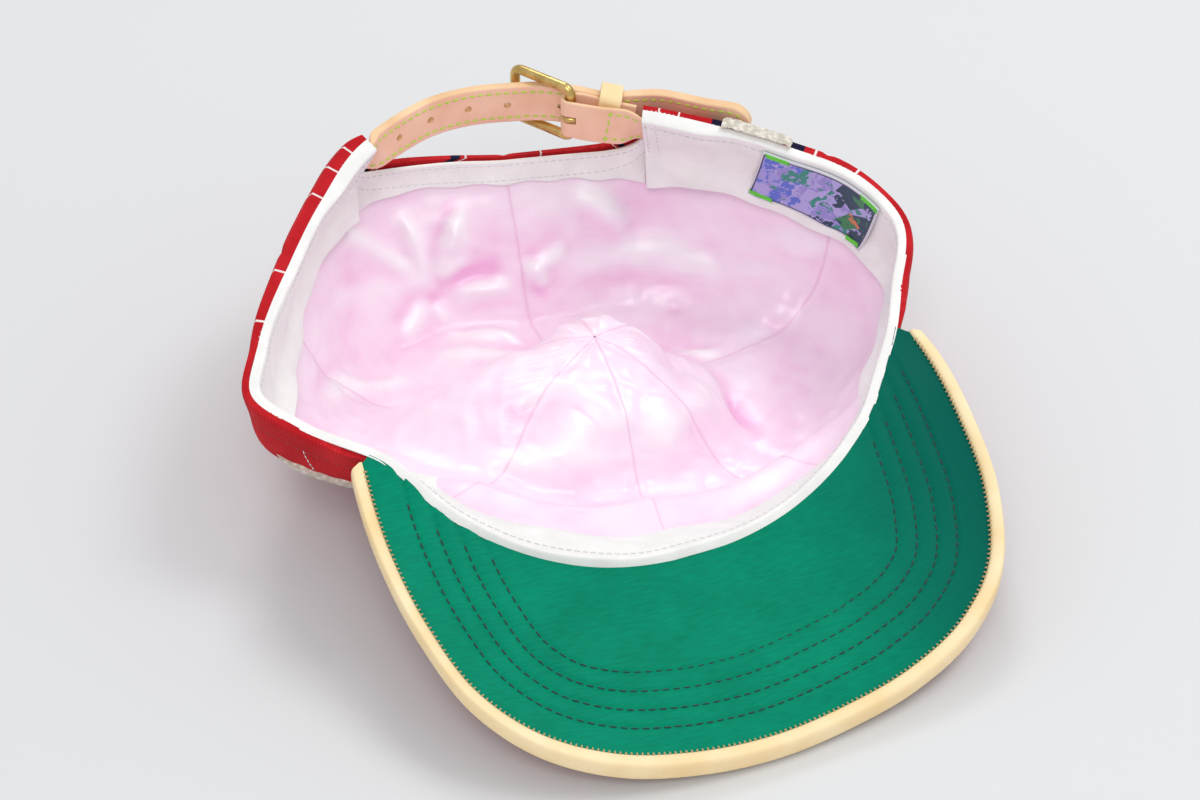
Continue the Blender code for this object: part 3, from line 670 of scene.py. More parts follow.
# Motifs of the red cloth: a cream looped patch in the hem at the back right, a looped
# strip at the front left, and short white ticks, all worked into the jersey before it
# is sewn.
cream_loops = new_material("cream_loops", 0.95, Sheen_Weight=0.2)
loop_cells = add_node(
    cream_loops,
    "ShaderNodeTexVoronoi",
    {"Vector": coordinates(cream_loops, "Object"), "Scale": 620.0},
)
finish_with(
    cream_loops,
    colours(loop_cells.outputs["Distance"], ((0.0, (0.9, 0.86, 0.78)), (0.7, (0.55, 0.50, 0.42)))),
    ((loop_cells.outputs["Distance"], -0.9, 0.0010),),
)
looped_patches = table(
    "turn end_turn down end_down",
    ((116.3, 130.4, 0.0, 0.013), (274.0, 312.0, 0.017, 0.025)),
)
for number, row in enumerate(zip(*looped_patches.values())):
    turn, end_turn, down, end_down = row
    turns = np.linspace(turn, end_turn, 60)
    steps = np.linspace(0, 1, 50)
    wave = 0.0004 * np.sin(turns * 2.1)[:, None] * (down > 0)
    rows = down + (end_down - down) * steps[None, :] + wave
    slant = math.degrees(0.45 / map_radius) * (rows - down) * (down == 0)
    walls = hem(rows, turns[:, None] + slant)
    edge = np.sqrt(np.clip(np.minimum(np.arange(60), np.arange(60)[::-1]) / 4, 0, 1))[:, None]
    edge = edge * np.sqrt(np.clip(np.arange(50)[::-1] / 4, 0, 1))[None, :]
    lumps = np.random.default_rng(60 + number).uniform(0, 0.0005, rows.shape)
    out = -walls - (0.0009 + lumps) * edge
    if down == 0:
        out = out + (walls + 0.0022) * bell(rows, 0, 0.0007)
    top = cloth(turns[:, None] + slant, rows, out, shell_seams + shell_crumple)
    top[..., 2] += 0.0017 * bell(rows, 0, 0.0017) * (down == 0)
    under = cloth(turns[:, None] + slant, rows, -walls + 0.0003, shell_seams + shell_crumple)
    patch = grid_piece(f"looped_patch_{number}", top, under, cream_loops, cloth_uv(turns, rows))
    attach(patch, "root")


def stitch_tree():
    """Short threads laid end to end along every line of a mesh."""
    tree = bpy.data.node_groups.new("stitches", "GeometryNodeTree")
    face = tree.interface
    face.new_socket("Geometry", in_out="OUTPUT", socket_type="NodeSocketGeometry")
    face.new_socket("Lines", in_out="INPUT", socket_type="NodeSocketGeometry")
    for name in ("Pitch", "Length", "Width", "Height", "Wander"):
        face.new_socket(name, in_out="INPUT", socket_type="NodeSocketFloat")
    face.new_socket("Seed", in_out="INPUT", socket_type="NodeSocketInt")
    face.new_socket("Thread", in_out="INPUT", socket_type="NodeSocketMaterial")

    def node(kind, **links):
        made = tree.nodes.new(kind)
        for socket, value in links.items():
            target = made.inputs[socket.replace("_", " ")]
            if isinstance(value, bpy.types.NodeSocket):
                tree.links.new(value, target)
            else:
                target.default_value = value
        return made

    given = tree.nodes.new("NodeGroupInput").outputs
    lines = node("GeometryNodeMeshToCurve", Mesh=given["Lines"])
    spaced = node("GeometryNodeResampleCurve", Curve=lines.outputs["Curve"])
    spaced.mode = "LENGTH"
    tree.links.new(given["Pitch"], spaced.inputs["Length"])
    tangent = tree.nodes.new("GeometryNodeInputTangent")
    aim = node("FunctionNodeAlignRotationToVector", Vector=tangent.outputs["Tangent"])
    aim.axis = "X"
    scatter = node("FunctionNodeRandomValue", Seed=given["Seed"])
    scatter.data_type = "FLOAT_VECTOR"
    wander = node("ShaderNodeVectorMath")
    wander.operation = "SCALE"
    scatter.inputs["Min"].default_value = (-1.0, -1.0, -1.0)
    scatter.inputs["Max"].default_value = (1.0, 1.0, 1.0)
    tree.links.new(scatter.outputs["Value"], wander.inputs["Vector"])
    tree.links.new(given["Wander"], wander.inputs["Scale"])
    turned = node("FunctionNodeRotateRotation", Rotation=aim.outputs["Rotation"])
    tree.links.new(wander.outputs["Vector"], turned.inputs["Rotate By"])
    thread = node("GeometryNodeMeshUVSphere", Segments=8, Rings=5, Radius=0.5)
    smooth = node("GeometryNodeSetShadeSmooth", Geometry=thread.outputs["Mesh"])
    size = node("ShaderNodeCombineXYZ", X=given["Length"], Y=given["Width"], Z=given["Height"])
    laid = node(
        "GeometryNodeInstanceOnPoints",
        Points=spaced.outputs["Curve"],
        Instance=smooth.outputs["Geometry"],
        Rotation=turned.outputs["Rotation"],
        Scale=size.outputs["Vector"],
    )
    real = node("GeometryNodeRealizeInstances", Geometry=laid.outputs["Instances"])
    dyed = node("GeometryNodeSetMaterial", Geometry=real.outputs["Geometry"])
    tree.links.new(given["Thread"], dyed.inputs["Material"])
    out = tree.nodes.new("NodeGroupOutput")
    tree.links.new(dyed.outputs["Geometry"], out.inputs["Geometry"])
    return tree


stitching = stitch_tree()


def sewn(name, lines, finish, pitch, length, width, height=None, wander=0.04, seed=1):
    """One plain mesh of stitches along the given lines, made by the stitch tree."""
    points = np.concatenate(lines)
    starts = np.cumsum([0] + [len(line) for line in lines])
    edges = []
    for start, line in zip(starts, lines):
        edges += [(start + step, start + step + 1) for step in range(len(line) - 1)]
    mesh = bpy.data.meshes.new(name + "_lines")
    mesh.from_pydata(points.tolist(), edges, [])
    laid = placed(name + "_lines", mesh)
    modifier = laid.modifiers.new("stitches", "NODES")
    modifier.node_group = stitching
    values = {
        "Pitch": pitch,
        "Length": length,
        "Width": width,
        "Height": height or width,
        "Wander": wander,
        "Seed": seed,
        "Thread": finish,
    }
    for socket in stitching.interface.items_tree:
        if socket.name in values:
            modifier[socket.identifier] = values[socket.name]
    graph = bpy.context.evaluated_depsgraph_get()
    made = bpy.data.meshes.new_from_object(laid.evaluated_get(graph), depsgraph=graph)
    bpy.data.objects.remove(laid)
    piece = placed(name, made)
    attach(piece, "root")
    return piece


def thread(name, colour, roughness=0.7):
    finish = new_material(name, roughness, Sheen_Weight=0.2)
    strand = ribs(coordinates(finish, "Object"), 3500, "DIAGONAL")
    dark = tuple(value * 0.6 for value in colour)
    finish_with(finish, colours(strand, ((0.1, dark), (0.7, colour))), ((strand, 0.3, 0.0001),))
    return finish


red_thread = thread("red_thread", (0.42, 0.015, 0.02))
white_thread = thread("white_thread", (0.88, 0.87, 0.85))


hem_lines = []
for first, last in panel_seams.values():
    turns = np.linspace(first + 0.6, last - 0.6, 120)
    rows = arch_cut(turns) + hem_stitch_depth
    off = -hem(rows, turns) - 0.00005
    hem_lines.append(cloth(turns, rows, off, shell_seams + shell_crumple))
topstitch_from_seam = 0.0022
seam_lines = []
for first, _ in panel_seams.values():
    length = float(np.interp(first % 360, net_turns, net_lengths, period=360))
    for side in (-1, 1):
        rows = np.linspace(float(arch_cut(first)) + hem_depth, length - 0.009, 140)
        radius = 0.095 * (1 - rows / length) + 0.006
        turns = first + side * np.degrees(topstitch_from_seam / radius)
        off = -hem(rows, turns) - 0.00005
        seam_lines.append(cloth(turns, rows, off, shell_seams + shell_crumple))
sewn(
    "shell_stitches", hem_lines + seam_lines, red_thread,
    pitch=0.0031, length=0.0026, width=0.00045,
)

ticks = table("turn down lean", (
    (268.0, 0.006, 80), (279.5, 0.012, 85), (290.0, 0.016, 80), (136.0, 0.024, 60),
    (255.0, 0.030, 30), (262.0, 0.042, 70), (205.0, 0.045, 40), (160.0, 0.046, 20),
    (88.0, 0.028, 60), (75.0, 0.020, 30), (66.0, 0.036, 80), (300.0, 0.036, 50),
    (322.0, 0.026, 70), (343.0, 0.034, 20), (12.0, 0.030, 60), (33.0, 0.024, 40),
    (120.0, 0.050, 30), (240.0, 0.058, 80), (282.0, 0.050, 20), (226.0, 0.022, 70),
))
tick_reach = 0.0032
tick_lines = []
for turn, down, lean in zip(*ticks.values()):
    along = np.linspace(-tick_reach, tick_reach, 12)
    turns = turn + np.degrees(along * math.cos(math.radians(lean)) / 0.09)
    rows = float(arch_cut(turn)) + down + along * math.sin(math.radians(lean))
    off = -hem(np.maximum(rows, 0), turns) - 0.0001
    tick_lines.append(cloth(turns, np.maximum(rows, 0), off, shell_seams + shell_crumple))
sewn(
    "white_ticks", tick_lines, white_thread,
    pitch=0.0016, length=0.0015, width=0.0006, height=0.0004, wander=0.12,
)

# Satin lining: six gores of pale pink satin, seamed like the shell and caught with it
# at the button. It is loose, so it creases in a star at the back left, puckers at its
# seams and puffs up over the band at the front.
pink_satin = new_material(
    "pink_satin", 0.3, Sheen_Weight=0.25, Sheen_Roughness=0.35, Anisotropic=0.45,
    Coat_Weight=0.2, Coat_Roughness=0.22, Specular_IOR_Level=0.9,
)
satin_map = coordinates(pink_satin)
satin_solid = coordinates(pink_satin, "Object")
satin_threads = ribs(satin_map, 3200, "Y", 1.5)
satin_slubs = noise(stretched(satin_map, Scale=(90.0, 1600.0, 1.0)), 1.0, 3)
satin_clouds = noise(satin_solid, 45, 3)
satin_shade = maths("MULTIPLY_ADD", satin_slubs, 0.45, maths("MULTIPLY", satin_clouds, 0.55))
# The seam attribute is painted shade: a deeper pink line along each seam for the shade in its
# groove.
seam_shade_amount = add_node(pink_satin, "ShaderNodeAttribute", attribute_name="seam").outputs["Fac"]
# The sheen attribute is painted light: a painted highlight of pale pink on the fold ridges and
# painted shade of deep pink in their hollows.
painted_fold_light_amount = add_node(pink_satin, "ShaderNodeAttribute", attribute_name="sheen").outputs["Fac"]
satin_shade = maths("MULTIPLY_ADD", painted_fold_light_amount, 0.75, maths("MULTIPLY", satin_shade, 0.30))
satin_stops = ((0.22, (0.92, 0.50, 0.76)), (0.50, (0.96, 0.73, 0.88)), (0.85, (0.98, 0.90, 0.96)))
satin_colour = colours(satin_shade, satin_stops)
finish_with(
    pink_satin,
    mixed(maths("MULTIPLY", seam_shade_amount, 0.45), satin_colour, (0.76, 0.36, 0.58, 1.0)),
    ((satin_threads, 0.12, 0.0001), (satin_slubs, 0.22, 0.0002)),
    maths("MULTIPLY_ADD", satin_slubs, 0.16, 0.24),
)
lining_folds = table("turn share end_turn end_share width push", (
    (200.5, 0.407, 201.0, 0.221, 0.0030, 0.0024),
    (198.5, 0.382, 190.0, 0.241, 0.0028, 0.0022),
    (198.0, 0.417, 183.0, 0.427, 0.0026, 0.0022),
    (199.0, 0.422, 185.0, 0.377, 0.0030, -0.0012),
    (201.0, 0.442, 203.5, 0.548, 0.0024, 0.0026),
    (202.5, 0.427, 211.5, 0.472, 0.0030, 0.0022),
    (201.5, 0.397, 223.5, 0.276, 0.0034, 0.0020),
    (202.0, 0.382, 214.0, 0.191, 0.0036, 0.0024),
    (196.0, 0.300, 193.0, 0.340, 0.0024, 0.0020),
    (193.5, 0.261, 191.0, 0.342, 0.0028, 0.0022),
    (191.0, 0.342, 198.0, 0.387, 0.0026, 0.0022),
    (203.5, 0.548, 187.5, 0.593, 0.0028, 0.0018),
    (212.0, 0.560, 192.0, 0.660, 0.0030, 0.0018),
    (242.0, 0.372, 225.5, 0.518, 0.0040, 0.0022),
    (253.0, 0.276, 232.5, 0.392, 0.0045, 0.0020),
    (178.0, 0.382, 174.0, 0.442, 0.0022, 0.0022),
    (179.0, 0.400, 168.0, 0.350, 0.0030, 0.0018),
    (163.0, 0.206, 153.0, 0.307, 0.0045, 0.0024),
    (153.5, 0.367, 130.0, 0.357, 0.0050, 0.0022),
    (169.5, 0.412, 136.0, 0.307, 0.0050, 0.0018),
    (104.5, 0.673, 67.0, 0.462, 0.0040, -0.0014),
    (112.5, 0.573, 125.0, 0.640, 0.0030, 0.0016),
    (147.5, 0.955, 138.5, 0.700, 0.0020, 0.0020),
    (160.0, 0.950, 185.0, 0.900, 0.0016, 0.0016),
    (120.0, 0.940, 100.0, 0.850, 0.0018, 0.0018),
    (295.5, 0.588, 305.0, 0.759, 0.0035, 0.0016),
    (305.0, 0.759, 348.5, 0.613, 0.0045, 0.0016),
    (292.5, 0.337, 341.5, 0.523, 0.0050, 0.0016),
    (8.5, 0.573, 68.5, 0.668, 0.0045, 0.0014),
    (3.0, 0.342, 28.0, 0.367, 0.0045, 0.0016),
    (330.0, 0.640, 320.0, 0.480, 0.0050, 0.0018),
    (20.0, 0.700, 24.0, 0.500, 0.0045, 0.0014),
))
lining_push = 0 * downs
for row in zip(*lining_folds.values()):
    turn, share, end_turn, end_share, width, push = row
    lining_push += ridge(on_net(turn, share), on_net(end_turn, end_share), width, push)
front_away = np.abs((net_turns + 180) % 360 - 180)[:, None]
slow = 0.014 + 0.012 * ease((95 - front_away) / 30)
loose = ease((downs - white_end(net_turns)[:, None] + 0.001) / slow)
front_rise = 0.0080 * bell(downs, 0.030, 0.010) * ease((80 - front_away) / 30)
billow = 0.0017 * (1 - bell(from_seam, 0, 0.0035))
puckers = 0.5 + 0.5 * np.sin(downs * 2 * math.pi / 0.0075 + 1.6 * np.sin(downs * 310))
billow *= 1 - 0.30 * puckers * bell(from_seam, 0, 0.007)
lining_crumple = ripple(23, 0.0016, 0.012, 0.045) + ripple(29, 0.0005, 0.005, 0.012)
lining_shape = (billow + lining_crumple + 1.25 * lining_push) * loose + front_rise
lining_shape = np.maximum(lining_shape, -0.0001)
# Painted shade along the seams, stored for the satin's colour.
seam_line = bell(from_seam, 0, 0.0004)
# Painted highlight and shade for the satin: paler where the high-passed fold relief rises, deeper
# pink where it sinks.
relief = lining_push + 0.6 * lining_crumple
relief = relief - 0.25 * np.roll(relief, 8, 1) - 0.25 * np.roll(relief, -8, 1)
painted_fold_light = np.clip(0.5 + 400 * relief, 0, 1)
for panel, (first, last) in panel_seams.items():
    turns, distances = panel_lines(first, last, 110, lambda turn: 0.0015, 190, 0.0004)
    off = np.full_like(distances, fit)
    over = cloth(turns[:, None], distances, off + lining_wall, lining_shape)
    under = cloth(turns[:, None], distances, off, lining_shape)
    node = "lining_" + panel
    piece = grid_piece(node + "_satin", over, under, pink_satin, cloth_uv(turns, distances))
    # Both attributes paint light into the satin's colour: painted shade along the seams, painted
    # highlight and shade over the folds.
    for name, field in (("seam", seam_line), ("sheen", painted_fold_light)):
        values = field_at(field, turns[:, None], distances).ravel()
        layer = piece.data.attributes.new(name, "FLOAT", "POINT")
        layer.data.foreach_set("value", np.concatenate([values, values]))
    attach(piece, "root")
    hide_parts(node)

# Sweatband and arch facing: white cotton twill, folded over a soft core and sewn in
# round the rim, with a gently wavy free edge. A strip of the same twill faces the arch.
strap_pocket = 0.0018
band_stitch_depth = 0.0032
white_twill = new_material("white_twill", 0.85, Sheen_Weight=0.15)
twill_map = coordinates(white_twill)
twill_ribs = ribs(stretched(twill_map, Rotation=(0.0, 0.0, 0.9)), 1500)
twill_clouds = noise(coordinates(white_twill, "Object"), 120, 4)
finish_with(
    white_twill,
    colours(twill_clouds, ((0.3, (0.84, 0.83, 0.81)), (0.7, (0.92, 0.91, 0.89)))),
    ((twill_ribs, 0.25, 0.0002), (twill_clouds, 0.25, 0.0012)),
)


def edge_round(distance):
    """How full a folded edge is, from 0 at the edge itself to 1 behind the fold."""
    share = np.clip(distance / 0.0007, 0, 1)
    return np.sqrt(np.clip(1 - (1 - share) ** 2, 0, 1))


def stand_off(turns):
    away = arch_middle_turn - arch_half_turn - np.abs((turns + 180) % 360 - 180)
    return fit + lining_wall + fit + strap_pocket * (1 - ease((away - 12) / 10))


band_crumple = ripple(41, 0.0006, 0.012, 0.035)
band_first = arch_half_turn - 180
turns = np.linspace(band_first, -band_first, 620)
wave = 0.0004 * np.sin(turns * 0.11) + 0.00015 * np.sin(turns * 0.43 + 1)
middle_shares = np.linspace(0.06, 0.95, 26)[:-1]
shares = np.concatenate([np.linspace(0, 0.06, 8)[:-1], middle_shares, np.linspace(0.95, 1, 7)])
distances = shares[None, :] * (white_end(turns) + wave)[:, None]
off = stand_off(turns)[:, None] + 0 * distances
fall = np.minimum(distances, (white_end(turns) + wave)[:, None] - distances)
rounded = edge_round(fall)
stitch_groove = 0.0002 * bell(distances, band_stitch_depth, 0.0006)
flare = 0.0012 + 0.0006 * (1 + np.sin(turns * 0.5 + 2))[:, None]
flare = flare * ease((distances - 0.018) / 0.012)
over_off = off + band_wall * (0.35 + 0.65 * rounded) - stitch_groove + flare
over = cloth(turns[:, None], distances, over_off, band_crumple)
closing = 1 - ease((distances - 0.0004) / 0.0012)
under_off = off + band_wall * (0.35 - 0.35 * rounded) + flare * 0.6
under_off = under_off * (1 - closing) - 0.0002 * closing
under = cloth(turns[:, None], distances, under_off, band_crumple)
sweatband = grid_piece("sweatband_twill", over, under, white_twill, cloth_uv(turns, distances))
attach(sweatband, "root")
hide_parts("sweatband")

edge = arch_half_turn - 0.35
turns = np.linspace(arch_middle_turn - edge, arch_middle_turn + edge, 200)
first = np.maximum(arch_cut(turns) - 0.0002, 0.0156)
wave = 0.0004 * np.sin(turns * 0.6)
depth = (white_end(turns) + wave - first)[:, None]
distances = first[:, None] + np.linspace(0, 1, 34)[None, :] * depth
off = np.full_like(distances, fit + lining_wall + fit)
rise = np.minimum(distances - distances[:, :1], distances[:, -1:] - distances)
rounded = edge_round(rise)
over = cloth(turns[:, None], distances, off + band_wall * (0.35 + 0.65 * rounded), band_crumple)
under = cloth(turns[:, None], distances, off + band_wall * (0.35 - 0.35 * rounded), band_crumple)
facing = grid_piece("arch_facing_twill", over, under, white_twill, cloth_uv(turns, distances))
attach(facing, "root")
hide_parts("arch_facing")

band_top = np.linspace(band_first + 0.5, -band_first - 0.5, 700)
band_lines = [
    cloth(band_top, band_stitch_depth, stand_off(band_top) + band_wall + 0.00002, band_crumple)
]
for down in (0.0016, 0.0074):
    seam = turns[(first < 0.03)]
    rows = np.maximum(arch_cut(seam), 0.0156) + down
    off = np.full(len(seam), fit * 2 + lining_wall + band_wall)
    band_lines.append(cloth(seam, rows, off, band_crumple))
for aside in (0.9, 3.2):
    rows = np.linspace(0.002, 0.0285, 60)
    for side in (-1, 1):
        seam = np.full(60, side * (arch_middle_turn - arch_half_turn - aside))
        band_lines.append(cloth(seam, rows, stand_off(seam) + band_wall + 0.00002, band_crumple))
sewn(
    "white_stitches", band_lines, white_thread,
    pitch=0.0023, length=0.0017, width=0.00042,
)

# Brim: a curved board covered in red jersey above and green satin below, quilted
# together in four rows of dark thread. The cap lies upside down, so the satin shows.
brim_reach = half_head_width * 1.3317
brim_tip_height = 0.0056
board_wall = 0.0016
satin_wall = 0.0010
binding_wall = 0.0010
binding_lip = 0.0045
brim_dish = 0.0025
slack = 0.0005
brim_start = 0.0024
quilt_rows = (0.0133, 0.0190, 0.0247, 0.0304)
quilt_from_band = 0.0048
brim_edge = table("turn reach lift", (
    (-80, 0.615, 1.00),
    (-75, 0.640, 0.97),
    (-65, 0.700, 0.88),
    (-55, 0.775, 0.74),
    (-45, 0.862, 0.55),
    (-36, 0.945, 0.36),
    (-28, 0.990, 0.22),
    (-19, 1.005, 0.10),
    (-10, 1.000, 0.03),
    (0, 0.995, 0),
    (10, 0.993, 0.02),
    (19, 1.003, 0.08),
    (28, 1.010, 0.20),
    (36, 0.990, 0.34),
    (45, 0.920, 0.53),
    (55, 0.825, 0.72),
    (65, 0.745, 0.87),
    (75, 0.668, 0.97),
    (80, 0.640, 1.00),
))


def brim_ends(turns):
    """Rim and edge of the brim at these turns, in the cap's own frame."""
    inner = outward(turns) * (half_head_width * around(rim, "reach", turns))[..., None]
    inner[..., 2] = back_height * around(rim, "lift", turns)
    reach = spline(brim_edge["turn"], brim_edge["reach"], turns)
    outer = outward(turns) * (brim_reach * reach)[..., None]
    root = back_height * around(rim, "lift", brim_half_turn)
    lift = spline(brim_edge["turn"], brim_edge["lift"], turns)
    outer[..., 2] = brim_tip_height + (root - brim_tip_height) * lift
    return inner, outer


def brim_place(turns, alongs, below):
    """Places of the brim at distances from the rim, at a depth below its satin face."""
    turns, alongs = np.broadcast_arrays(np.asarray(turns, float), alongs)
    inner, outer = brim_ends(turns)
    run = outer - inner
    length = np.linalg.norm(run, axis=-1)
    place = inner + run * (alongs / length)[..., None]
    dish = brim_dish * np.minimum(length / 0.05, 1.0)
    place[..., 2] -= dish * np.sin(math.pi * np.clip(alongs / length, 0, 1)) + below
    return place + shift


def brim_length(turns):
    inner, outer = brim_ends(np.asarray(turns, float))
    return np.linalg.norm(outer - inner, axis=-1)


edge_turns = np.linspace(-79, 79, 500)
edge_line = brim_place(edge_turns, brim_length(edge_turns), 0)


def from_edge(places):
    away = np.full(places.shape[:-1], 1.0)
    for point in edge_line:
        away = np.minimum(away, np.linalg.norm(places - point, axis=-1))
    return away


green_satin = new_material("green_satin", 0.5, Anisotropic=0.4, Specular_IOR_Level=0.05)
green_map = coordinates(green_satin)
green_threads = noise(stretched(green_map, Scale=(220.0, 1400.0, 1.0)), 1.0, 3)
green_clouds = noise(coordinates(green_satin, "Object"), 60, 3)
green_shade = maths("MULTIPLY_ADD", green_threads, 0.55, maths("MULTIPLY", green_clouds, 0.45))
# Painted shade: the satin darkens towards the brim's right end, where its curve turns away from the
# light.
green_side = beside({"Vector": green_map}, "ShaderNodeSeparateXYZ").outputs["X"]
painted_shade_range = {"Value": green_side, "From Min": 0.020, "From Max": 0.095}
green_painted_shade = beside(painted_shade_range, "ShaderNodeMapRange", interpolation_type="SMOOTHSTEP")
green_dye = colours(green_shade, ((0.3, (0.0, 0.185, 0.105)), (0.7, (0.0, 0.275, 0.155))))
finish_with(
    green_satin,
    mixed(green_painted_shade.outputs["Result"], green_dye, (0.0, 0.105, 0.078, 1.0)),
    ((green_threads, 0.22, 0.0001), (green_clouds, 0.15, 0.0008)),
    maths("MULTIPLY_ADD", green_threads, 0.2, 0.4),
)
turns = np.linspace(-brim_half_turn, brim_half_turn, 300)
ends = brim_length(turns) - binding_wall - slack
alongs = np.linspace(0, 1, 120)[None, :] * (ends + 0.0002)[:, None] - 0.0002
flat = brim_place(turns[:, None], alongs, 0.0)
edge_distance = from_edge(flat)
groove = sum(bell(edge_distance, row, 0.0007) for row in quilt_rows)
swell = sum(bell(edge_distance - row, 0.0028, 0.0016) for row in quilt_rows[:3])
ridges = np.sin(np.radians(turns)[:, None] * 150 + 2 * np.sin(edge_distance * 900))
near_rows = bell(edge_distance, 0.021, 0.010)
depth = 0.00045 * groove - 0.0002 * swell - 0.00004 * ridges * near_rows
top = flat - np.array([0, 0, 1.0]) * depth[..., None]
bottom = brim_place(turns[:, None], alongs, satin_wall)
satin_uv = np.stack([flat[..., 0], flat[..., 1]], axis=-1)
brim_satin = grid_piece("brim_satin_face", top, bottom, green_satin, satin_uv)
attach(brim_satin, "root")
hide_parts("brim_satin")

alongs = brim_start + np.linspace(0, 1, 40)[None, :] * (ends - brim_start)[:, None]
top = brim_place(turns[:, None], alongs, satin_wall + fit)
bottom = brim_place(turns[:, None], alongs, satin_wall + fit + board_wall)
board_uv = np.stack([top[..., 0], top[..., 1]], axis=-1)
brim_board = grid_piece("brim_board_cloth", top, bottom, red_jersey, board_uv)
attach(brim_board, "root")
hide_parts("brim_board")

green_thread = thread("green_thread", (0.0, 0.035, 0.03))
quilt_lines = []
for row in quilt_rows:
    along = unit(np.gradient(edge_line, axis=0)[:, :2])
    spots = edge_line[:, :2] + np.stack([-along[:, 1], along[:, 0]], axis=1) * row - shift[:2]
    spot_turns = np.degrees(np.arctan2(spots[:, 0], -spots[:, 1]))
    inner, outer = brim_ends(spot_turns)
    share = np.linalg.norm(spots, axis=1) - np.linalg.norm(inner[:, :2], axis=1)
    share /= np.linalg.norm(outer[:, :2] - inner[:, :2], axis=1)
    from_band = share * brim_length(spot_turns)
    keep = (from_band > quilt_from_band) & (np.abs(spot_turns) < brim_half_turn - 1)
    quilt_lines.append(brim_place(spot_turns, from_band, 0.0003)[keep])
sewn(
    "quilting", quilt_lines, green_thread,
    pitch=0.0030, length=0.0024, width=0.00055, height=0.00035, wander=0.03,
)


def swept_piece(name, stations, finish, closed=False, edge_finish=None, edge_corners=()):
    """A solid through a row of outlines, with a UV map in metres along and round it."""
    count, corners = stations.shape[:2]
    index = np.arange(count * corners).reshape(count, corners)
    last = count if closed else count - 1
    here = index[:last]
    there = np.roll(index, -1, axis=0)[:last]
    faces = np.stack([here, np.roll(here, -1, 1), np.roll(there, -1, 1), there], axis=-1)
    faces = faces.reshape(-1, 4).tolist()
    if not closed:
        faces += [index[0][::-1].tolist(), index[-1].tolist()]
    mesh = bpy.data.meshes.new(name)
    mesh.from_pydata(stations.reshape(-1, 3).tolist(), [], faces)
    around_it = np.linalg.norm(np.roll(stations, -1, 1) - stations, axis=2).mean(axis=0)
    around_it = np.concatenate([[0], np.cumsum(around_it)])
    middles = stations.mean(axis=1)
    steps = np.linalg.norm(np.roll(middles, -1, axis=0) - middles, axis=1)
    run = np.concatenate([[0], np.cumsum(steps)])
    layer = mesh.uv_layers.new(name="cloth")
    rows, columns = np.meshgrid(np.arange(last), np.arange(corners), indexing="ij")
    flat_uv = np.stack([
        np.stack([run[rows], around_it[columns]], -1),
        np.stack([run[rows], around_it[columns + 1]], -1),
        np.stack([run[rows + 1], around_it[columns + 1]], -1),
        np.stack([run[rows + 1], around_it[columns]], -1),
    ], axis=2).reshape(-1, 2)
    every = np.zeros((len(mesh.loops), 2))
    every[: len(flat_uv)] = flat_uv
    layer.data.foreach_set("uv", every.ravel())
    mesh.materials.append(finish)
    if edge_finish:
        mesh.materials.append(edge_finish)
        for face in mesh.polygons[: last * corners]:
            face.material_index = int(face.index % corners in edge_corners)
    shape = bmesh.new()
    shape.from_mesh(mesh)
    if shape.calc_volume(signed=True) < 0:
        bmesh.ops.reverse_faces(shape, faces=shape.faces)
    shape.to_mesh(mesh)
    shape.free()
    mesh.shade_smooth()
    mesh.set_sharp_from_angle(angle=math.radians(50))
    return placed(name, mesh)


def leather(name, dull, bright, pores=0.25):
    """Vegetable-tanned leather: faint clouds of colour, fine pores, a low sheen."""
    finish = new_material(name, 0.5, Specular_IOR_Level=0.35)
    solid = coordinates(finish, "Object")
    clouds = noise(solid, 80, 4)
    grain = add_node(finish, "ShaderNodeTexVoronoi", {"Vector": solid, "Scale": 1900.0})
    finish_with(
        finish,
        colours(clouds, ((0.3, dull), (0.7, bright))),
        ((grain.outputs["Distance"], pores, 0.0001), (clouds, 0.1, 0.0006)),
        maths("MULTIPLY_ADD", clouds, 0.2, 0.42),
    )
    return finish


# Edge binding: a strip of pale leather folded over the brim's edge and sewn through,
# its lips whipped down on the satin.
pale_leather = leather("pale_leather", (0.92, 0.67, 0.34), (0.98, 0.80, 0.50))
turns = np.linspace(-brim_half_turn, brim_half_turn, 320)
long = brim_length(turns)
lip = np.minimum(binding_lip, long - brim_start)
above = slack + binding_wall
below = satin_wall + fit + board_wall + slack + binding_wall
half = (above + below) / 2
bend = np.radians(np.linspace(90, -90, 15))
corner = np.sign(np.cos(bend)) * np.abs(np.cos(bend)) ** 0.6
rise = np.sign(np.sin(bend)) * np.abs(np.sin(bend)) ** 0.6
insets = [lip, lip * 0.98] + [lip * 0.75] + [0.0016 * (1 - value) + 0 * lip for value in corner]
insets += [lip * 0.75, lip * 0.98, lip]
ups = [0.3, 0.7, 0.97, *rise, -0.97, -0.7, -0.3]
outside = []
for inset, height in zip(insets, ups):
    drop = -(above - half) - height * half
    outside.append(brim_place(turns, long - inset, drop))
inside = []
for inset, height in zip(insets[::-1], ups[::-1]):
    level = height * (half - binding_wall)
    drop = -(above - half) - level
    inside.append(brim_place(turns, long - np.maximum(inset, binding_wall), drop))
stations = np.stack(outside + inside, axis=1)
binding = swept_piece("brim_binding_leather", stations, pale_leather)
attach(binding, "root")
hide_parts("brim_binding")
tan_thread = thread("tan_thread", (0.62, 0.43, 0.20))
whip = brim_place(turns, long - lip - 0.0001, -above * 0.4)
sewn(
    "binding_stitches", [whip[4:-4]], tan_thread,
    pitch=0.0015, length=0.0006, width=0.0016, height=0.0009, wander=0.03,
)

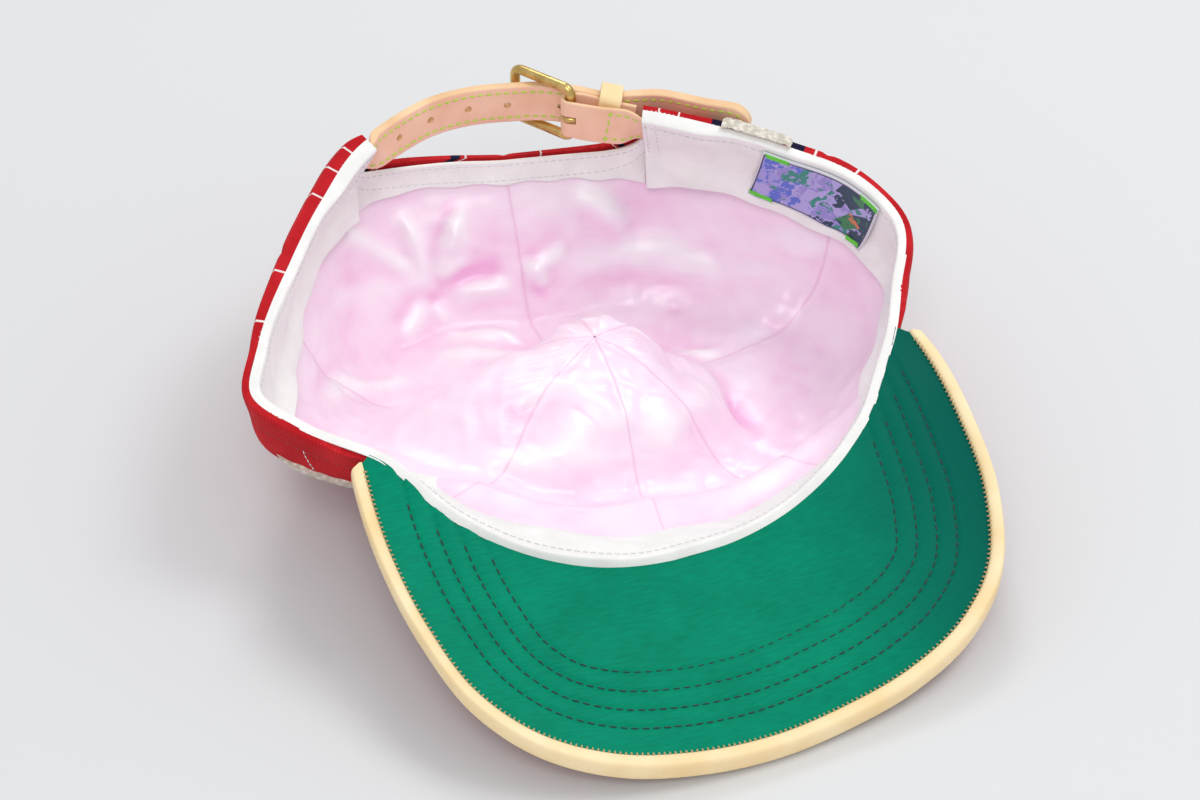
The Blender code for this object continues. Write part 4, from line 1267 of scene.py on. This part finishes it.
# Strap: two pieces of vegetable-tanned leather sewn in at the ends of the arch. The
# short one is folded round the buckle's bar, the long one is pierced for the prong.
strap_width = 0.0130
strap_wall = 0.0032
strap_tab = 0.0055
strap_tab_wall = 0.0009
strap_twist = 0.0080
tail_lean_share = 0.20
strap_below_rim = 0.0085
buckle_side_length = 0.0228
buckle_side_heading = 154.0
buckle_side_layer = 0.0014
wire_radius = 0.0014
buckle_length = 0.0216
buckle_heading = 123.7
buckle_corner = 0.0028
buckle_clearance = 0.0010
prong_radius = 0.0010
prong_overhang = 0.0022
keeper_share = 0.48
buckle_height_share = 0.8825
keeper_room = 0.0014
keeper_width = 0.0070
keeper_wall = 0.0013
stitch_inset = 0.0020
strap_edge = 0.0006
hole_radius = 0.0012
upward = np.array([0.0, 0.0, 1.0])


def plan(heading):
    angle = math.radians(heading)
    return np.array([math.cos(angle), math.sin(angle), 0.0])


def tab_lines(side):
    """Upper and lower edge of a strap's sewn-in end; side 1 is the right."""
    end = arch_middle_turn - arch_half_turn
    reach = np.linalg.norm((cloth(end, np.array(strap_below_rim), 0.0) - shift)[:2])
    tab_turn = math.degrees(strap_tab / reach)
    turns = side * np.array([end - tab_turn, end - tab_turn / 2, end])
    off = fit + lining_wall + fit + strap_pocket / 2
    return [
        cloth(turns, np.full(3, strap_below_rim + sign * strap_width / 2), off)
        for sign in (-1, 1)
    ]


def strap_seat(side):
    return np.mean([line[-1] for line in tab_lines(side)], axis=0)


side_out = plan(buckle_side_heading - 90)
heel_bar = strap_seat(1) + plan(buckle_side_heading) * buckle_side_length
heel_bar[2] = back_height * buckle_height_share
fold_radius = wire_radius + slack + buckle_side_layer / 2
tongue_offset = wire_radius + fit + 2 * prong_radius + slack + strap_wall / 2


def beside_bar(share, off):
    return heel_bar + (strap_seat(1) - heel_bar) * share + side_out * off


keeper_middle = beside_bar(keeper_share, 0.0)


def course_through(points, count):
    points = np.array(points)
    knots = run_along(points)
    return spline(knots, points, np.linspace(0, knots[-1], count))


def strap_course(side, points, wall, count):
    """Middle line of a strap with its directions across and out, and half its thickness."""
    upper, lower = tab_lines(side)
    tab_across = upper[-1] - lower[-1]
    tab_across /= np.linalg.norm(tab_across)
    course = course_through(list((upper + lower) / 2) + points, count)
    run = run_along(course)
    along = unit(np.gradient(course, axis=0))
    free = run - strap_tab
    across = tab_across + (upward - tab_across) * ease(free / strap_twist)[:, None]
    if side < 0:
        beyond = (keeper_middle - course) @ plan(buckle_side_heading) - keeper_width / 2
        across = across - side_out * tail_lean_share * ease(beyond / 0.010)[:, None]
    across -= along * (across * along).sum(axis=1, keepdims=True)
    across = unit(across)
    out = np.cross(along, across)
    thick = strap_tab_wall + (wall - strap_tab_wall) * ease((free - 0.0015) / 0.004)
    return course, across, out, thick / 2, run


def corner_angles(steps):
    """Signs and angles of the points round a bar with four rounded corners."""
    for quarter, (wide, thick) in enumerate(((1, 1), (-1, 1), (-1, -1), (1, -1))):
        for step in range(steps):
            yield wide, thick, math.pi / 2 * (quarter + step / (steps - 1))


def strap_piece(name, course, across, out, half_thick, half_wide, finish, edge_finish):
    """A strap of rounded section, whose two narrow sides show raw leather."""
    narrow_sides = (7, 8, 9, 10, 11, 17, 18, 19, 0, 1)
    round_off = np.minimum(strap_edge, half_thick * 0.8)
    stations = []
    for wide, thick, angle in corner_angles(5):
        aside = wide * (half_wide - np.minimum(round_off, half_wide)) + round_off * math.cos(angle)
        off = thick * (half_thick - round_off) + round_off * math.sin(angle)
        stations.append(course + across * aside[:, None] + out * off[:, None])
    return swept_piece(name, np.stack(stations, axis=1), finish, False, edge_finish, narrow_sides)


def cut(piece, cutter):
    modifier = piece.modifiers.new("cut", "BOOLEAN")
    modifier.operation = "DIFFERENCE"
    modifier.solver = "EXACT"
    modifier.object = cutter
    graph = bpy.context.evaluated_depsgraph_get()
    made = bpy.data.meshes.new_from_object(piece.evaluated_get(graph), depsgraph=graph)
    piece.modifiers.clear()
    piece.data = made
    made.set_sharp_from_angle(angle=math.radians(50))
    bpy.data.objects.remove(cutter)


def rod(name, course, radius, finish, closed=False, sides=16, level=None):
    """A round wire along a course."""
    course = np.array(course)
    if closed:
        along = np.roll(course, -1, 0) - np.roll(course, 1, 0)
    else:
        along = np.gradient(course, axis=0)
    along = unit(along)
    aside = unit(np.cross(upward if level is None else level, along))
    other = np.cross(along, aside)
    angles = np.linspace(0, 2 * math.pi, sides, endpoint=False)
    radius = np.broadcast_to(radius, len(course))[:, None]
    stations = [course + radius * (aside * math.cos(a) + other * math.sin(a)) for a in angles]
    return swept_piece(name, np.stack(stations, axis=1), finish, closed)


tan_leather = leather("tan_leather", (0.84, 0.48, 0.32), (0.93, 0.60, 0.43))
raw_edge = leather("tan_leather_edge", (0.80, 0.50, 0.26), (0.93, 0.66, 0.40), 0.5)
tongue_bow = np.array((
    (-0.330, 0.822, 0.890),
    (-0.215, 0.866, 0.898),
    (-0.088, 0.876, 0.900),
    (0.039, 0.858, 0.895),
    (0.128, 0.838, 0.889),
))
tail_bow = np.array(((0.456, 0.711, 0.865), (0.592, 0.607, 0.862), (0.700, 0.530, 0.862)))
bow_size = np.array([half_head_width, half_head_width, back_height])
points = list(tongue_bow * bow_size + shift)
points.append(heel_bar + side_out * tongue_offset)
points.append(keeper_middle + side_out * tongue_offset)
points += list(tail_bow * bow_size + shift)
course, across, out, half_thick, run = strap_course(-1, points, strap_wall, 260)
tip = np.clip((run - run[-1] + strap_width / 2) / (strap_width / 2), 0, 0.995)
half_wide = strap_width / 2 * np.sqrt(1 - tip**2)
sizes = (half_thick, half_wide, tan_leather, raw_edge)
tongue = strap_piece("strap_tongue_leather", course, across, out, *sizes)
buckle_face = plan(buckle_heading - 90)
prong_start = heel_bar + buckle_face * (wire_radius + fit + prong_radius)
prong_end = prong_start + plan(buckle_heading) * (buckle_length + prong_overhang)
prong_line = [prong_start + (prong_end - prong_start) * share for share in (-0.02, 0.5, 1.02)]
cut(tongue, rod("prong_hole", prong_line, prong_radius + fit, raw_edge))
hole_runs = (0.0205, 0.0333, 0.0465, 0.0593)
for hole in hole_runs:
    spot = [np.interp(hole, run, course[:, axis]) for axis in range(3)]
    way = np.array([np.interp(hole, run, out[:, axis]) for axis in range(3)])
    through = [spot - way * 0.004, spot, spot + way * 0.004]
    cut(tongue, rod("hole", through, hole_radius, raw_edge))
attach(tongue, "root")
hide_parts("strap_tongue")

lime_thread = thread("lime_thread", (0.55, 0.86, 0.06))
sewn_runs = (run > strap_tab + 0.004) & (run < run[-1] - stitch_inset - 0.0002)
tongue_lines = []
for face in (-1, 1):
    reach = np.minimum(half_wide, strap_width / 2)
    inner = strap_width / 2 - stitch_inset
    tip = np.clip((run - run[-1] + strap_width / 2) / inner, 0, 1)
    row = inner * np.sqrt(1 - tip**2)
    height = (half_thick + 0.00005) * face
    rows = [course + across * (sign * row)[:, None] + out * height[:, None] for sign in (1, -1)]
    tongue_lines.append(np.concatenate([rows[0][sewn_runs], rows[1][sewn_runs][::-1]]))
sewn(
    "tongue_stitches", tongue_lines, lime_thread,
    pitch=0.0027, length=0.0021, width=0.0006, height=0.0006, wander=0.05,
)

points = [beside_bar(0.66, -0.0012), beside_bar(0.35, -fold_radius * 0.92)]
for step in range(7):
    angle = math.pi * step / 6
    ahead = plan(buckle_side_heading) * fold_radius * math.sin(angle)
    points.append(heel_bar - side_out * fold_radius * math.cos(angle) + ahead)
points += [beside_bar(keeper_share, fold_radius), beside_bar(0.84, fold_radius - 0.0002)]
course, across, out, half_thick, run = strap_course(1, points, buckle_side_layer, 240)
half_wide = np.full(len(run), strap_width / 2)
sizes = (half_thick, half_wide, tan_leather, raw_edge)
side = strap_piece("strap_buckle_side_leather", course, across, -out, *sizes)
slot_lift = upward * (prong_radius + fit)
slot_radius = wire_radius + fit + 2 * prong_radius + fit
slot_line = [heel_bar - slot_lift, heel_bar, heel_bar + slot_lift]
cut(side, rod("prong_slot", slot_line, slot_radius, raw_edge, False, 32, plan(0.0)))
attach(side, "root")
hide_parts("strap_buckle_side")
inner_leaf = (run > strap_tab + 0.0008) & (run < strap_tab + 0.0115)
row = strap_width / 2 - stitch_inset
side_lines = []
for face in (-1, 1):
    height = ((half_thick + 0.00005) * face)[inner_leaf, None]
    leaf = course[inner_leaf] + out[inner_leaf] * height
    side_lines += [leaf + across[inner_leaf] * row, leaf - across[inner_leaf] * row]
    spread = np.linspace(-row, row, 20)[:, None]
    side_lines.append(leaf[-1] + across[inner_leaf][-1] * spread)
sewn(
    "buckle_side_stitches", side_lines, lime_thread,
    pitch=0.0025, length=0.0020, width=0.0006, height=0.0006, wander=0.05,
)

# Buckle: a bent brass wire frame and a prong hooked round its heel bar, with a loop
# of pale leather as keeper.
brass = new_material("brass", 0.24, Metallic=1.0)
wear = noise(coordinates(brass, "Object"), 240, 4)
finish_with(
    brass,
    colours(wear, ((0.3, (0.52, 0.34, 0.10)), (0.7, (0.80, 0.58, 0.22)))),
    ((wear, 0.05, 0.0003),),
    maths("MULTIPLY_ADD", wear, 0.2, 0.16),
)
half_long = buckle_length / 2
half_high = strap_width / 2 + buckle_clearance + wire_radius
middle = heel_bar + plan(buckle_heading) * half_long + upward * slack
frame_line = []
for sign_long, sign_high, angle in corner_angles(10):
    ahead = sign_long * (half_long - buckle_corner) + buckle_corner * math.cos(angle)
    high = sign_high * (half_high - buckle_corner) + buckle_corner * math.sin(angle)
    frame_line.append(middle + plan(buckle_heading) * ahead + upward * high)
buckle = rod("buckle_frame_brass", frame_line, wire_radius + 0.0002, brass, True, 18, buckle_face)
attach(buckle, "root")
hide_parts("buckle_frame")

hook_radius = wire_radius + fit + prong_radius
hook = []
for step in range(15):
    angle = math.pi * (step / 15 - 1)
    turned = buckle_face * math.cos(angle) - plan(buckle_heading) * math.sin(-angle)
    hook.append(heel_bar + hook_radius * turned)
straight = [prong_start + (prong_end - prong_start) * share for share in np.linspace(0, 1, 30)]
course = np.array(hook + straight)
left = np.linalg.norm(course - course[-1], axis=1)
radius = prong_radius * np.sqrt(1 - (1 - np.clip(left / prong_radius, 0.02, 1)) ** 2)
prong = rod("buckle_prong_brass", course, radius, brass, False, 16, buckle_face)
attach(prong, "root")
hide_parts("buckle_prong")

along = heel_bar - strap_seat(1)
along /= np.linalg.norm(along)
level = upward - along * (upward @ along)
level /= np.linalg.norm(level)
near = fold_radius - buckle_side_layer / 2 - slack - keeper_wall / 2
far = tongue_offset + strap_wall / 2 + keeper_room + keeper_wall / 2
high = strap_width / 2 + 2 * slack + keeper_wall / 2
keeper_bend = 0.0018
keeper_edge = 0.0004
loop = []
for sign_off, sign_high, angle in corner_angles(8):
    off = (near + far) / 2 + sign_off * ((far - near) / 2 - keeper_bend)
    off += keeper_bend * math.cos(angle)
    rise = sign_high * (high - keeper_bend) + keeper_bend * math.sin(angle)
    facing_way = side_out * math.cos(angle) + level * math.sin(angle)
    centre = keeper_middle + side_out * off + level * rise
    ring = []
    for wide, thick, turn in corner_angles(4):
        aside = wide * (keeper_width / 2 - keeper_edge) + keeper_edge * math.cos(turn)
        deep = thick * (keeper_wall / 2 - keeper_edge) + keeper_edge * math.sin(turn)
        ring.append(centre + along * aside + facing_way * deep)
    loop.append(ring)
keeper = swept_piece("keeper_leather", np.array(loop), pale_leather, True)
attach(keeper, "root")
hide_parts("keeper")

# Woven label on the right of the sweatband: a plain patchwork of colours with a pale
# edge, tacked at its corners with bright green zigzags.
label_width = 0.0430
label_height = 0.0240
label_wall = 0.0008
label_turn = 110.8
label_from_rim = 0.0020
woven_label = new_material("woven_label", 0.75, Sheen_Weight=0.2)
label_map = coordinates(woven_label)
cells = beside({"Vector": label_map, "Scale": 170.0, "Randomness": 1.0}, "ShaderNodeTexVoronoi")
drift = noise(label_map, 190, 4, 0.7)
patch_tone = beside({"Color": cells.outputs["Color"]}, "ShaderNodeSeparateColor").outputs[0]
split = beside({"Vector": label_map}, "ShaderNodeSeparateXYZ")
tone = maths("MULTIPLY_ADD", patch_tone, 0.32, maths("MULTIPLY", drift, 0.42))
tone = maths("MULTIPLY_ADD", split.outputs["X"], 10.0, tone)
patchwork = colours(tone, (
    (0.20, (0.42, 0.38, 0.84)),
    (0.36, (0.12, 0.18, 0.72)),
    (0.42, (0.52, 0.45, 0.86)),
    (0.54, (0.36, 0.30, 0.74)),
    (0.60, (0.03, 0.30, 0.24)),
    (0.67, (0.50, 0.44, 0.84)),
    (0.72, (0.012, 0.05, 0.10)),
    (0.82, (0.04, 0.25, 0.10)),
    (0.90, (0.80, 0.20, 0.08)),
), "CONSTANT")
ends_in = maths("MINIMUM", split.outputs["X"], maths("SUBTRACT", label_width, split.outputs["X"]))
sides_in = maths("MINIMUM", split.outputs["Y"], maths("SUBTRACT", label_height, split.outputs["Y"]))
inward = maths("MINIMUM", ends_in, sides_in)
inside_mask = maths("GREATER_THAN", inward, 0.0011)
outline_mask = maths("GREATER_THAN", inward, 0.0006)
bordered = mixed(inside_mask, (0.03, 0.03, 0.10, 1.0), patchwork)
edged = mixed(outline_mask, (0.75, 0.76, 0.82, 1.0), bordered)
weave = maths("MULTIPLY", ribs(label_map, 2600), ribs(label_map, 2200, "Y"))
weave_shade = colours(weave, ((0.0, (0.35, 0.35, 0.4)), (1.0, (1.0, 1.0, 1.0))))
finish_with(woven_label, mixed(0.15, edged, weave_shade, "MULTIPLY"), ((weave, 0.5, 0.0003),))
half = math.degrees(label_width / 2 / half_head_width)
label_columns = 90
turns = np.linspace(label_turn + half, label_turn - half, label_columns)
wave = 0.0010 * np.sin(np.linspace(0, 9, label_columns))
wave += 0.0006 * np.sin(np.linspace(1, 20, label_columns))
downs_row = np.linspace(0, 1, 44)[None, :]
distances = label_from_rim + downs_row * (label_height + wave * 0.6)[:, None]
off = fit + lining_wall + fit + band_wall + fit
lift = 0.0006 * downs_row * (1 + np.sin(np.linspace(0, 14, label_columns)))[:, None]
leaned = turns[:, None] + 5.0 * (downs_row - 0.3)
over = cloth(leaned, distances, off + label_wall + lift, band_crumple)
under = cloth(leaned, distances, off + lift, band_crumple)
along = np.linspace(0, label_width, label_columns)[:, None]
flat = np.stack(np.broadcast_arrays(along, downs_row * label_height), axis=-1)
label = grid_piece("label_woven", over, under, woven_label, flat)
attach(label, "root")
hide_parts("label")
tack_thread = thread("tack_thread", (0.15, 0.75, 0.05))
tack_lines = []
for start, end, down, end_down in (
    (120.6, 116.2, 0.0007, 0.0007),
    (125.6, 121.0, 0.0228, 0.0230),
    (101.6, 97.6, 0.0007, 0.0007),
    (105.6, 102.6, 0.0232, 0.0226),
):
    teeth = np.arange(40)
    tack_turns = np.linspace(start, end, 40)
    tack_row = np.linspace(down, end_down, 40)
    tack_downs = label_from_rim + tack_row + 0.0008 * (teeth % 2 * 2 - 1)
    height = off + label_wall + 0.0009 * np.clip(tack_row / label_height, 0, 1)
    tack_lines.append(cloth(tack_turns, tack_downs, height + 0.0002, band_crumple))
sewn(
    "label_tacks", tack_lines, tack_thread,
    pitch=0.0005, length=0.0009, width=0.0004, height=0.0004, wander=0.0,
)

# Top button: a disc covered in the red jersey, its shank clinched through the crown.
button_radius = 0.0060
button_depth = 0.0035
button_stem_radius = 0.0016
seat = button_height - shell_wall - 0.0013
profile = np.array((
    (button_stem_radius, button_height - fit),
    (button_stem_radius, seat),
    (button_radius * 0.97, seat - 0.0004),
    (button_radius, seat - 0.0012),
    (button_radius * 0.94, seat - button_depth * 0.5),
    (button_radius * 0.75, seat - button_depth * 0.8),
    (button_radius * 0.40, seat - button_depth * 0.97),
    (button_radius * 0.05, seat - button_depth),
))
stations = []
for radius, height in profile:
    centre = np.array([button_right, button_back, height]) + shift
    stations.append([centre + plan(angle) * radius for angle in range(0, 360, 9)])
button = swept_piece("top_button_cloth", np.array(stations), red_jersey)
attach(button, "root")
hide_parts("top_button")

# Studio: a pale floor under three broad soft lights, from the right, from behind and
# from the camera's side, seen from the front left at the photograph's angle.
floor_finish = new_material("floor", 0.7, Base_Color=(0.71, 0.72, 0.73, 1.0))
floor_mesh = bpy.data.meshes.new("floor")
floor_mesh.from_pydata([(-4, -4, 0), (4, -4, 0), (4, 4, 0), (-4, 4, 0)], [], [(0, 1, 2, 3)])
floor_mesh.materials.append(floor_finish)
floor = placed("floor", floor_mesh)
world = bpy.data.worlds.new("studio")
world.use_nodes = True
world.node_tree.nodes["Background"].inputs["Color"].default_value = (0.96, 0.975, 1.0, 1.0)
world.node_tree.nodes["Background"].inputs["Strength"].default_value = 0.70
bpy.context.scene.world = world
bpy.context.scene.view_settings.view_transform = "Standard"
cap_centre = Vector((-0.011, -0.030, 0.048)) + Vector(shift)


def aimed(name, data, azimuth, elevation, distance):
    """A light or camera that looks at the cap from a direction and a distance."""
    a, e = math.radians(azimuth), math.radians(elevation)
    back = Vector((math.sin(a) * math.cos(e), -math.cos(a) * math.cos(e), math.sin(e)))
    thing = placed(name, data)
    thing.location = cap_centre + back * distance
    thing.rotation_euler = back.to_track_quat("Z", "Y").to_euler()
    return thing


for name, azimuth, elevation, distance, size, power, tint in (
    ("window", 85, 58, 1.5, 0.5, 5.0, (1.0, 0.99, 0.97)),
    ("back_panel", 165, 50, 1.5, 0.4, 3.5, (1.0, 1.0, 1.0)),
    ("fill", -25, 52, 1.8, 0.7, 7.0, (1.0, 0.99, 0.98)),
):
    lamp = bpy.data.lights.new(name, "AREA")
    lamp.size = size
    lamp.energy = power
    lamp.color = tint
    aimed(name, lamp, azimuth, elevation, distance)
lens = bpy.data.cameras.new("camera")
lens.lens = 78.0
lens.sensor_width = 36.0
bpy.context.scene.camera = aimed("camera", lens, -21.0, 40.8, 0.74286)
